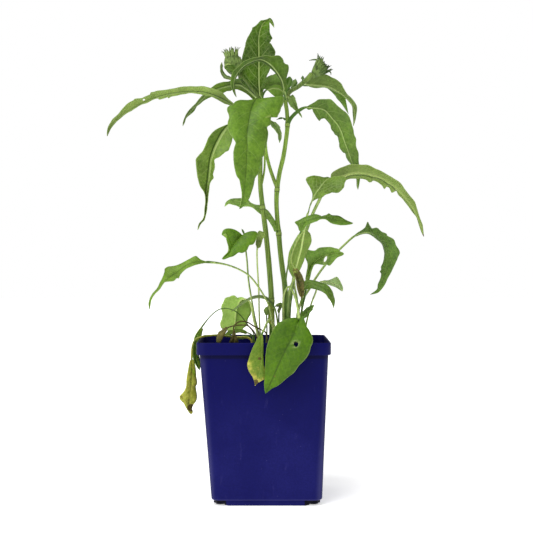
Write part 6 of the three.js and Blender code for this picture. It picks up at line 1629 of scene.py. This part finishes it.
def make_soil():
    """A block of mix under the lip with a lumpy top, strewn with crumbs, bark and a few pale grains."""
    rng = seeded("soil")
    half = wall_ring(POT_WALL + SOIL_GAP, SOIL_TOP)[:, 1].max()
    corner = WALL_CORNER - POT_WALL
    straight = half - corner
    count = int(2 * half / SOIL_STEP) + 1
    at = np.linspace(-half, half, count)
    top = np.zeros((count, count, 3))
    for i, y in enumerate(at):
        for j, x in enumerate(at):
            dx, dy = abs(x) - straight, abs(y) - straight
            px, py = x, y
            if dx > 0 and dy > 0:  # follow the rounded corner
                keep = max(dx, dy) / max(math.hypot(dx, dy), 1e-6)
                px = math.copysign(straight + dx * keep, x)
                py = math.copysign(straight + dy * keep, y)
            inside = smooth(np.array(half - max(abs(px), abs(py))), 0, SOIL_SLOPE)
            rise = lumpy(px, py) * (0.5 + 0.5 * inside) - SOIL_FALL * (1 - inside)
            top[i, j] = px + middle_at(SOIL_TOP), py, SOIL_TOP - SOIL_SINK + rise
    low = top.copy()
    low[..., 2] = SOIL_TOP - SOIL_DEPTH
    number = lambda i, j, under=False: (count * count if under else 0) + i * count + j
    faces = []
    for i in range(count - 1):
        for j in range(count - 1):
            square = [(i, j), (i, j + 1), (i + 1, j + 1), (i + 1, j)]
            faces.append(tuple(number(*p) for p in square))
            faces.append(tuple(number(*p, True) for p in (square[0], *square[:0:-1])))
    rim = ([(0, j) for j in range(count)] + [(i, count - 1) for i in range(1, count)]
           + [(count - 1, j) for j in range(count - 2, -1, -1)] + [(i, 0) for i in range(count - 2, 0, -1)])
    for a, b in zip(rim, rim[1:] + rim[:1]):
        faces.append((number(*b), number(*a), number(*a, True), number(*b, True)))
    shape = Shape("soil_mark")
    shape.add(np.concatenate([top.reshape(-1, 3), low.reshape(-1, 3)]), faces, soil_mark=(0, 0, 0))
    for k in range(CRUMBS):
        x, y = rng.uniform(-half + CRUMB_MARGIN, half - CRUMB_MARGIN, 2)
        if abs(x) > straight and abs(y) > straight:
            continue
        size = rng.uniform(*CRUMB_SIZES) * (BIG_CRUMB if k % BIG_EVERY == 0 else 1)
        add_crumb(shape, rng, (x + middle_at(SOIL_TOP), y, SOIL_TOP - CRUMB_SINK + lumpy(x, y)), size)
    shape.build("potting_mix", MATERIALS["soil"], ["soil"])


def add_crumb(shape, rng, at, size):
    """An uneven closed crumb: three rings on a stretched sphere, turned at random."""
    stretch = rng.uniform(0.5, 1.3, 3) * size
    turn = full_turn(CRUMB_SIDES) + rng.uniform(0, 6.28)
    rings = []
    for z in CRUMB_LEVELS:
        r = math.sqrt(1 - z * z) * rng.uniform(0.75, 1.15, CRUMB_SIDES)
        rings.append(np.column_stack([r * np.cos(turn), r * np.sin(turn), np.full(CRUMB_SIDES, z)]))
    spin, _ = np.linalg.qr(rng.uniform(-1, 1, (3, 3)))
    if np.linalg.det(spin) < 0:
        spin[:, 0] *= -1
    rings = (np.array(rings) * stretch) @ spin.T + np.array(at)
    shape.add_loft(rings, soil_mark=np.full((len(rings) * CRUMB_SIDES, 3), rng.uniform(0, 1)))


# Materials

def srgb(red, green, blue):
    """A linear colour from its 8-bit screen values."""
    linear = lambda c: ((c / 255 + 0.055) / 1.055) ** 2.4 if c > 10 else c / 255 / 12.92
    return (linear(red), linear(green), linear(blue))


class Graph:
    """A material's nodes, written as short sums of sockets and numbers."""

    def __init__(self, name):
        self.material = bpy.data.materials.new(name)
        self.material.use_nodes = True
        self.tree = self.material.node_tree
        self.tree.nodes.clear()

    def node(self, kind, **settings):
        made = self.tree.nodes.new("ShaderNode" + kind)
        for key, value in settings.items():
            setattr(made, key, value)
        return made

    def feed(self, socket, value):
        if isinstance(value, bpy.types.NodeSocket):
            self.tree.links.new(value, socket)
        elif isinstance(value, tuple) and len(value) == 3 and socket.type == "RGBA":
            socket.default_value = (*value, 1)
        else:
            socket.default_value = value

    def math(self, operation, a, b=0.0, clamp=False):
        made = self.node("Math", operation=operation, use_clamp=clamp)
        self.feed(made.inputs[0], a)
        self.feed(made.inputs[1], b)
        return made.outputs[0]

    def add(self, a, b):
        return self.math("ADD", a, b)

    def minus(self, a, b, clamp=False):
        return self.math("SUBTRACT", a, b, clamp)

    def times(self, a, b, clamp=False):
        return self.math("MULTIPLY", a, b, clamp)

    def size(self, a):
        """A number without its sign."""
        return self.math("ABSOLUTE", a)

    def mix(self, share, a, b):
        """Colour a, or colour b where share is 1."""
        made = self.node("Mix", data_type="RGBA", blend_type="MIX")
        self.feed(made.inputs[0], share)
        self.feed(made.inputs[6], a)
        self.feed(made.inputs[7], b)
        return made.outputs[2]

    def ramp(self, value, low, high, start=0.0, end=1.0):
        """start below low, end above high, and smooth between."""
        made = self.node("MapRange", interpolation_type="SMOOTHSTEP")
        for socket, number in zip(made.inputs, (value, low, high, start, end)):
            self.feed(socket, number)
        return made.outputs[0]

    def places(self):
        return self.node("TexCoord").outputs["Object"]

    def stretched(self, vector, rise):
        """Places for a pattern that is drawn out upwards, 1 / rise times."""
        made = self.node("Mapping")
        self.feed(made.inputs["Vector"], vector)
        made.inputs["Scale"].default_value = (1.0, 1.0, rise)
        return made.outputs[0]

    def noise(self, vector, size, detail=3.0, rough=0.55):
        """Noise from 0 to 1 whose features are about size mm across."""
        made = self.node("TexNoise")
        self.feed(made.inputs["Vector"], vector)
        made.inputs["Scale"].default_value = 1 / (size * MM)
        made.inputs["Detail"].default_value = detail
        made.inputs["Roughness"].default_value = rough
        return made.outputs["Fac"]

    def cells(self, vector, size, feature="F1"):
        """Distance within cells about size mm across, from their middle or their edge."""
        made = self.node("TexVoronoi", feature=feature)
        self.feed(made.inputs["Vector"], vector)
        made.inputs["Scale"].default_value = 1 / (size * MM)
        return made.outputs["Distance"]

    def mark(self, name):
        """The three numbers that a mesh carries at each point."""
        read = self.node("Attribute", attribute_name=name, attribute_type="GEOMETRY")
        split = self.node("SeparateXYZ")
        self.feed(split.inputs[0], read.outputs["Vector"])
        return split.outputs[:]

    def bump(self, height, depth, strength):
        """A normal bent by height, which is 0 to 1 over depth mm."""
        made = self.node("Bump")
        made.inputs["Strength"].default_value = strength
        made.inputs["Distance"].default_value = depth * MM
        self.feed(made.inputs["Height"], height)
        return made.outputs[0]

    def finish(self, colour, roughness, normal=None, **settings):
        shader = self.node("BsdfPrincipled")
        self.feed(shader.inputs["Base Color"], colour)
        self.feed(shader.inputs["Roughness"], roughness)
        if normal is not None:
            self.feed(shader.inputs["Normal"], normal)
        for key, value in settings.items():
            self.feed(shader.inputs[key.replace("_", " ")], value)
        out = self.node("OutputMaterial")
        self.tree.links.new(shader.outputs[0], out.inputs["Surface"])
        return self.material


def leaf_material(name, upper, under, rib, dead, gloss=0.5, crumple=0.25):
    """Living or dying leaf tissue. Pairs of screen colours are mixed by mottling. gloss is the
    middle roughness, and crumple the depth of the relief in mm."""
    upper, under, dead = [[srgb(*colour) for colour in pair] for pair in (upper, under, dead)]
    rib = srgb(*rib)
    stalk_green = srgb(72, 106, 34), srgb(186, 206, 124)
    straw = srgb(138, 138, 42), srgb(206, 196, 92)
    g = Graph(name)
    across, along, aside = g.mark("leaf_place")
    side, stalk, vein = g.mark("leaf_kind")
    yellow, brown, shade = g.mark("leaf_age_and_shade")
    tone, halo, dull = g.mark("leaf_tone")
    veins, rib_wide, rib_shadow = g.mark("leaf_line")
    hue, shadow_at, _ = g.mark("leaf_tint")
    at = g.places()
    broad, fine = g.noise(at, 13, 2), g.noise(at, 2.4, 3)
    mottle = g.ramp(g.add(g.times(broad, 0.5), g.times(fine, 0.5)), 0.24, 0.76)
    top = g.mix(mottle, *upper)
    bottom = g.mix(mottle, *under)
    green = g.mix(side, bottom, top)
    # lightness from the shade mark, partly the leaf's own and partly painted light and shade
    made = g.node("HueSaturation")
    g.feed(made.inputs["Color"], green)
    g.feed(made.inputs["Hue"], g.add(0.5, hue))
    g.feed(made.inputs["Saturation"], g.minus(1.0, dull))
    g.feed(made.inputs["Value"], g.add(1.0, shade))
    green = made.outputs[0]

    # Veins: thin lines that leave the midrib towards the tip, and fade towards the margin, with
    # painted shade in the fold beside each and a fine net between them
    edge = g.size(across)
    near = g.size(g.minus(g.math("FRACT", vein), 0.5))
    line = g.times(g.ramp(near, 0.43, 0.49), g.ramp(edge, 0.95, 0.4))
    sunk = g.times(g.ramp(near, 0.3, 0.43), g.ramp(near, 0.5, 0.43))
    net = g.ramp(g.cells(at, 3.2, "DISTANCE_TO_EDGE"), 0.16, 0.03)
    line = g.math("MAXIMUM", line, g.times(net, 0.3))
    blade = g.minus(1.0, stalk)
    line = g.times(g.times(line, blade), veins)
    sunk = g.times(g.times(sunk, blade), veins)
    # a darker green for painted shade: in the vein folds, on the midrib's shadow line and in its groove
    painted_shade_green = tuple(0.5 * c for c in upper[0])
    green = g.mix(g.times(sunk, 0.3), green, painted_shade_green)
    green = g.mix(line, green, rib)

    # The midrib: a painted shadow line on its lee side, then a pale rib, or a dark groove of painted
    # shade, that fades along the blade, and a painted rim highlight along the margins
    reach = g.ramp(along, 110.0, 30.0, 0.6, 1.0)
    shadow = g.ramp(g.size(g.minus(aside, shadow_at)), 1.1, 0.45)
    lee = g.ramp(g.times(across, rib_shadow), 0.0, 0.03)
    green = g.mix(g.times(shadow, g.times(lee, g.size(rib_shadow))), green, painted_shade_green)
    pale = g.times(g.ramp(g.math("DIVIDE", aside, rib_wide), 1.15, 0.5), g.math("MAXIMUM", tone, 0.0))
    green = g.mix(g.times(pale, reach), green, rib)
    groove = g.times(g.ramp(g.math("DIVIDE", aside, rib_wide), 1.5, 0.3),
                     g.math("MAXIMUM", g.times(tone, -1.0), 0.0))
    green = g.mix(g.times(groove, reach), green, painted_shade_green)
    # a painted rim highlight along the margins, in the rib's colour
    green = g.mix(g.times(g.ramp(edge, 0.93, 1.0), 0.3), green, rib)
    green = g.mix(g.times(halo, 0.45), green, rib)

    # Stalks are streaked along their length. Their tone says how pale they are, and painted light and
    # shade make each paler underneath and darker on its upper side
    streak = g.noise(g.stretched(at, 0.12), 1.2, 2)
    paleness = g.add(g.times(g.minus(streak, 0.5), 1.3), tone)
    paleness = g.minus(paleness, g.times(g.minus(side, 0.5), 1.1), clamp=True)
    green = g.mix(stalk, green, g.mix(paleness, *stalk_green))

    # Age: straw yellow, patchy and strongest at the margin, and then the dead colour over all
    patch = g.minus(g.noise(at, 6, 4, 0.6), 0.5)
    wilt = g.add(yellow, g.times(patch, 1.1))
    wilt = g.ramp(g.add(wilt, g.times(edge, 0.15)), 0.35, 0.75)
    wilt = g.times(wilt, g.ramp(yellow, 0.0, 0.15))
    straw = g.mix(mottle, *straw)
    colour = g.mix(g.times(wilt, 0.9), green, straw)
    dying = g.add(brown, g.times(g.minus(fine, 0.5), 0.9))
    dying = g.times(g.ramp(dying, 0.35, 0.6), g.ramp(brown, 0.0, 0.12))
    colour = g.mix(dying, colour, g.mix(mottle, *dead))

    rough = g.ramp(fine, 0.2, 0.8, gloss - 0.06, gloss + 0.1)
    relief = g.add(g.times(fine, 0.5), g.times(line, -0.7))
    normal = g.bump(relief, crumple, 0.75 if crumple > 1 else 0.45)
    return g.finish(colour, rough, normal, Specular_IOR_Level=0.22, Subsurface_Weight=0.12,
                    Subsurface_Radius=(0.5, 1.0, 0.25), Subsurface_Scale=1.2 * MM)


def stem_material():
    """Streaked green with brown flecks, pale joints ringed darker, a dull foot, painted highlights on the
    ridges, painted shade in the furrows, and painted light and shade along it.
    """
    streaks, blotch = (srgb(72, 100, 26), srgb(126, 154, 60)), srgb(96, 128, 42)
    ridge_highlight, furrow_shade, fleck_brown = srgb(150, 174, 84), srgb(56, 84, 20), srgb(84, 70, 40)
    joint_pale, joint_ring, foot_dull = srgb(168, 186, 104), srgb(74, 84, 34), srgb(96, 98, 46)
    g = Graph("stem_green")
    around, along, joint = g.mark("stem_mark")
    light = g.mark("stem_light")[0]
    at = g.places()
    streak = g.noise(g.stretched(at, 0.06), 1.1, 3)
    broad = g.noise(at, 22, 2)
    green = g.mix(g.ramp(streak, 0.34, 0.66), *streaks)
    green = g.mix(g.ramp(broad, 0.35, 0.7, 0.0, 0.4), green, blotch)
    ridge = g.math("COSINE", g.times(around, 2 * math.pi * STEM_RIDGES))
    # a painted highlight on each ridge and painted shade in each furrow
    green = g.mix(g.ramp(ridge, 0.0, 1.0, 0.0, 0.45), green, ridge_highlight)
    green = g.mix(g.ramp(ridge, 0.0, -1.0, 0.0, 0.35), green, furrow_shade)
    # painted light and shade along the stem, with its own tone, from the light mark
    made = g.node("HueSaturation")
    g.feed(made.inputs["Color"], green)
    g.feed(made.inputs["Value"], light)
    green = made.outputs[0]
    fleck = g.ramp(g.noise(g.stretched(at, 0.3), 0.9, 3, 0.7), 0.62, 0.72, 0.0, 0.55)
    green = g.mix(fleck, green, fleck_brown)
    green = g.mix(g.times(joint, 0.4), green, joint_pale)
    ring = g.ramp(g.size(g.minus(joint, 0.35)), 0.25, 0.05, 0.0, 0.75)
    green = g.mix(ring, green, joint_ring)
    green = g.mix(g.times(g.ramp(along, 34.0, 6.0), 0.4), green, foot_dull)
    return g.finish(green, 0.52, g.bump(streak, 0.2, 0.5), Specular_IOR_Level=0.3)


def bud_material():
    """Bracts from nearly white to dark green by their hue, with pale margins, a keel, and dark
    tips and feet."""
    pales, darks = (srgb(104, 132, 60), srgb(142, 166, 90)), (srgb(20, 38, 8), srgb(58, 88, 28))
    whitish, margin, keel_green = srgb(186, 202, 138), srgb(178, 196, 130), srgb(112, 142, 66)
    tip_dark, foot_dark = srgb(34, 38, 26), srgb(40, 62, 16)
    g = Graph("bud_bracts")
    across, along, hue = g.mark("bud_mark")
    dark_tip = g.mark("bud_tip")[0]
    fine = g.noise(g.places(), 0.9, 3, 0.6)
    pale = g.mix(fine, *pales)
    dark = g.mix(fine, *darks)
    share = g.times(hue, 0.8, clamp=True)
    green = g.mix(share, pale, dark)
    light = g.times(hue, -1.0, clamp=True)
    green = g.mix(light, green, whitish)
    edge = g.ramp(g.size(across), 0.7, 1.0, 0.0, 0.4)
    green = g.mix(g.times(edge, g.minus(1.0, share)), green, margin)
    keel = g.ramp(g.size(across), 0.25, 0.0, 0.0, 0.4)
    green = g.mix(keel, green, keel_green)
    tip = g.times(g.ramp(along, 0.6, 0.95), dark_tip)
    green = g.mix(g.times(tip, 0.8), green, tip_dark)
    foot = g.times(g.ramp(along, 0.4, 0.1, 0.0, 0.6), g.minus(1.0, light))
    green = g.mix(foot, green, foot_dark)
    return g.finish(green, 0.6, g.bump(fine, 0.2, 0.5), Specular_IOR_Level=0.25)


def pot_material():
    """Blue plastic with drag marks, specks and a fine grain, and painted light and shade: shade towards and
    under the lip and in the cut corners, a sheen on the corners and a highlight over the foot.
    """
    blues, shade_towards_lip, grain_blue = (srgb(14, 15, 84), srgb(22, 23, 93)), srgb(5, 6, 78), srgb(6, 8, 66)
    lip_shade, notch_shade = srgb(4, 4, 40), srgb(2, 2, 8)
    corner_sheen_blue, ledge_highlight_blue = srgb(100, 100, 148), srgb(96, 96, 150)
    scuff_blue, speck_blue = srgb(96, 92, 150), srgb(110, 108, 150)
    below_lip = lambda depth: (LIP_BOTTOM - depth) * MM
    over_foot = lambda rise: (FOOT_HEIGHT + rise) * MM
    g = Graph("pot_blue")
    at = g.places()
    split = g.node("SeparateXYZ")
    g.feed(split.inputs[0], at)
    x, y, height = split.outputs
    broad, grain = g.noise(at, 45, 3), g.noise(at, 1.5, 3, 0.7)
    fine = g.noise(at, 0.7, 4, 0.7)
    blue = g.mix(g.ramp(broad, 0.35, 0.7), *blues)
    # painted shade that darkens the wall towards the lip
    blue = g.mix(g.ramp(height, 50 * MM, 110 * MM, 0.0, 0.95), blue, shade_towards_lip)
    blue = g.mix(g.ramp(grain, 0.35, 0.65, 0.35, 0.0), blue, grain_blue)
    # a painted shadow in a narrow band just under the lip
    under = g.times(g.ramp(height, below_lip(-0.1), below_lip(0)),
                    g.ramp(height, below_lip(3.6), below_lip(2.4)))
    blue = g.mix(g.times(under, 0.7), blue, lip_shade)
    off_x = g.size(g.minus(x, (BASE_MIDDLE + RIM_MIDDLE) / 2 * MM))
    off_y = g.size(y)
    half = g.ramp(height, 0.0, LIP_BOTTOM * MM, POT_BASE / 2 * MM, WALL_TOP / 2 * MM)
    corner = g.math("DIVIDE", g.math("MINIMUM", off_x, off_y), half)
    # a painted sheen on the rounded corners of the wall
    corner_sheen = g.times(g.ramp(corner, 0.88, 1.0), g.ramp(height, below_lip(0), below_lip(8), 0.15, 1.0))
    blue = g.mix(g.times(corner_sheen, 0.22), blue, corner_sheen_blue)
    # a painted highlight along the ledge over the foot
    ledge_highlight = g.ramp(g.size(g.minus(height, over_foot(0.6))), 0.5 * MM, 0.1 * MM)
    blue = g.mix(g.times(ledge_highlight, 0.25), blue, ledge_highlight_blue)
    # painted shadow, nearly black, in the cut corners of the foot
    cut_off = g.ramp(g.math("MINIMUM", off_x, off_y), FOOT_SIDE / 2 * MM, (FOOT_SIDE / 2 + 0.6) * MM)
    notch = g.times(cut_off, g.ramp(height, over_foot(0.1), over_foot(-0.2)))
    blue = g.mix(g.times(notch, 0.95), blue, notch_shade)
    drag = g.noise(g.stretched(at, 0.25), 7, 5, 0.7)
    scuff = g.times(g.ramp(drag, 0.58, 0.74), g.ramp(fine, 0.4, 0.7, 0.3, 1.0))
    blue = g.mix(g.times(scuff, 0.14), blue, scuff_blue)
    blue = g.mix(g.ramp(g.cells(at, 6.5), 0.07, 0.03, 0.0, 0.2), blue, speck_blue)
    rough = g.ramp(drag, 0.3, 0.75, 0.42, 0.58)
    normal = g.bump(g.add(g.times(fine, 0.35), g.noise(at, 16, 2)), 0.16, 0.35)
    return g.finish(blue, rough, normal, Specular_IOR_Level=0.08)


def soil_material():
    """Brown mix whose crumbs differ, from bark to a few pale grains."""
    browns, damp = (srgb(40, 28, 20), srgb(104, 78, 54)), srgb(60, 44, 32)
    bark, pale_grain = srgb(128, 96, 62), srgb(196, 188, 172)
    g = Graph("potting_mix_brown")
    hue = g.mark("soil_mark")[0]
    at = g.places()
    grain = g.noise(at, 1.3, 5, 0.7)
    broad = g.noise(at, 9, 3)
    brown = g.mix(g.ramp(grain, 0.3, 0.7), *browns)
    brown = g.mix(g.ramp(broad, 0.4, 0.7, 0.0, 0.5), brown, damp)
    brown = g.mix(g.ramp(hue, 0.55, 0.8, 0.0, 0.7), brown, bark)
    brown = g.mix(g.ramp(hue, 0.94, 0.97, 0.0, 0.8), brown, pale_grain)
    return g.finish(brown, 0.92, g.bump(grain, 0.9, 0.8), Specular_IOR_Level=0.15)


# Screen colours of leaves: pairs for the upper side, the underside and dead parts, and one for ribs
RUST = ((44, 36, 16), (104, 92, 40))
OLIVE = ((28, 24, 8), (122, 116, 60))
MATERIALS = {
    "leaf_green": leaf_material(
        "leaf_green", upper=((70, 103, 24), (112, 148, 46)), under=((110, 138, 58), (142, 168, 78)),
        rib=(170, 190, 116), dead=RUST),
    "leaf_dark": leaf_material(
        "leaf_dark", upper=((56, 86, 27), (92, 126, 46)), under=((98, 125, 53), (130, 156, 74)),
        rib=(160, 180, 110), dead=RUST),
    "leaf_underside": leaf_material(
        "leaf_pale_back", upper=((80, 112, 37), (113, 144, 56)), under=((116, 142, 62), (149, 172, 88)),
        rib=(178, 196, 114), dead=RUST),
    "leaf_light": leaf_material(
        "leaf_young", upper=((116, 156, 54), (148, 184, 76)), under=((130, 168, 66), (162, 196, 92)),
        rib=(200, 218, 138), dead=RUST),
    "leaf_yellowing": leaf_material(
        "leaf_yellowing", upper=((88, 122, 40), (118, 148, 54)), under=((100, 132, 50), (132, 162, 68)),
        rib=(178, 192, 96), dead=RUST),
    "leaf_dry": leaf_material(
        "leaf_dry", upper=((84, 96, 40), (118, 120, 56)), under=((96, 100, 48), (124, 122, 62)),
        rib=(150, 142, 84), dead=OLIVE, gloss=0.75, crumple=1.2),
    "stem": stem_material(),
    "bud": bud_material(),
    "pot_plastic": pot_material(),
    "soil": soil_material(),
}


# Camera, light and floor

LENS = 74.8
SENSOR = 36
CLIP = (0.05, 50)  # metres, like the floor's
FLOOR_REACH = 6.0
FLOOR_DROP = 0.0002
FLOOR_GREYS = (0.92, 0.96)
FLOOR_GLOW = 0.48
SURROUND_SEEN = 1.0  # strength of the white surround where the camera sees it
SURROUND_LIGHT = 0.5  # and where it lights the plant
SUNS = {  # where each light comes from, how wide it is in degrees, and its strength
    "daylight": ((-0.32, -0.4, 1.0), 30, 1.7),
    "fill_left": ((-0.8, -1.2, 0.5), 60, 0.8),
}


def make_floor():
    """A white floor that glows a little, as the bright ground in the photo does."""
    mesh = bpy.data.meshes.new("floor")
    mesh.from_pydata([(sx * FLOOR_REACH, sy * FLOOR_REACH, 0) for sx, sy in CORNERS], [], [(0, 1, 2, 3)])
    g = Graph("floor_white")
    white = g.mix(g.noise(g.places(), 30, 3), *[(grey, grey, grey) for grey in FLOOR_GREYS])
    mesh.materials.append(g.finish(white, 0.9, Specular_IOR_Level=0.0, Emission_Color=(1, 1, 1),
                                   Emission_Strength=FLOOR_GLOW))
    floor = bpy.data.objects.new("floor", mesh)
    floor.location.z = -FLOOR_DROP
    bpy.context.scene.collection.objects.link(floor)


def make_surround():
    """A white surround, dimmer as a light than as it is seen."""
    world = bpy.data.worlds.new("studio")
    bpy.context.scene.world = world
    world.use_nodes = True
    nodes, links = world.node_tree.nodes, world.node_tree.links
    nodes.clear()
    path = nodes.new("ShaderNodeLightPath")
    seen, lit = nodes.new("ShaderNodeBackground"), nodes.new("ShaderNodeBackground")
    for shade, strength in ((seen, SURROUND_SEEN), (lit, SURROUND_LIGHT)):
        shade.inputs["Strength"].default_value = strength
        shade.inputs["Color"].default_value = (1, 1, 1, 1)
    mix, out = nodes.new("ShaderNodeMixShader"), nodes.new("ShaderNodeOutputWorld")
    links.new(path.outputs["Is Camera Ray"], mix.inputs[0])
    links.new(lit.outputs[0], mix.inputs[1])
    links.new(seen.outputs[0], mix.inputs[2])
    links.new(mix.outputs[0], out.inputs["Surface"])


def make_sun(name, direction, spread, strength):
    """Even light over the whole floor, from a wide patch of sky."""
    light = bpy.data.lights.new(name, "SUN")
    light.angle = math.radians(spread)
    light.energy = strength
    made = bpy.data.objects.new(name, light)
    made.location = direction
    made.rotation_euler = Vector(direction).to_track_quat("Z", "Y").to_euler()
    bpy.context.scene.collection.objects.link(made)


def make_camera():
    """Level, 1 m in front of the pot's middle."""
    camera = bpy.data.cameras.new("camera")
    camera.lens = LENS
    camera.sensor_width = SENSOR
    camera.clip_start, camera.clip_end = CLIP
    made = bpy.data.objects.new("camera", camera)
    made.location = (0, -VIEW_DISTANCE * MM, VIEW_HEIGHT * MM)
    made.rotation_euler = (math.pi / 2, 0, 0)
    bpy.context.scene.collection.objects.link(made)
    bpy.context.scene.camera = made


bpy.context.scene.view_settings.view_transform = "Standard"
bpy.context.scene.cycles.use_denoising = True
make_camera()
make_floor()
make_surround()
for name, sun in SUNS.items():
    make_sun(name, *sun)
make_pot()
make_drain_filling()
make_soil()
for name, stem in STEMS.items():
    make_stem(name, stem)
make_bud_left()
make_bud_right()
for name, leaf in LEAVES.items():
    make_leaf(name, leaf)
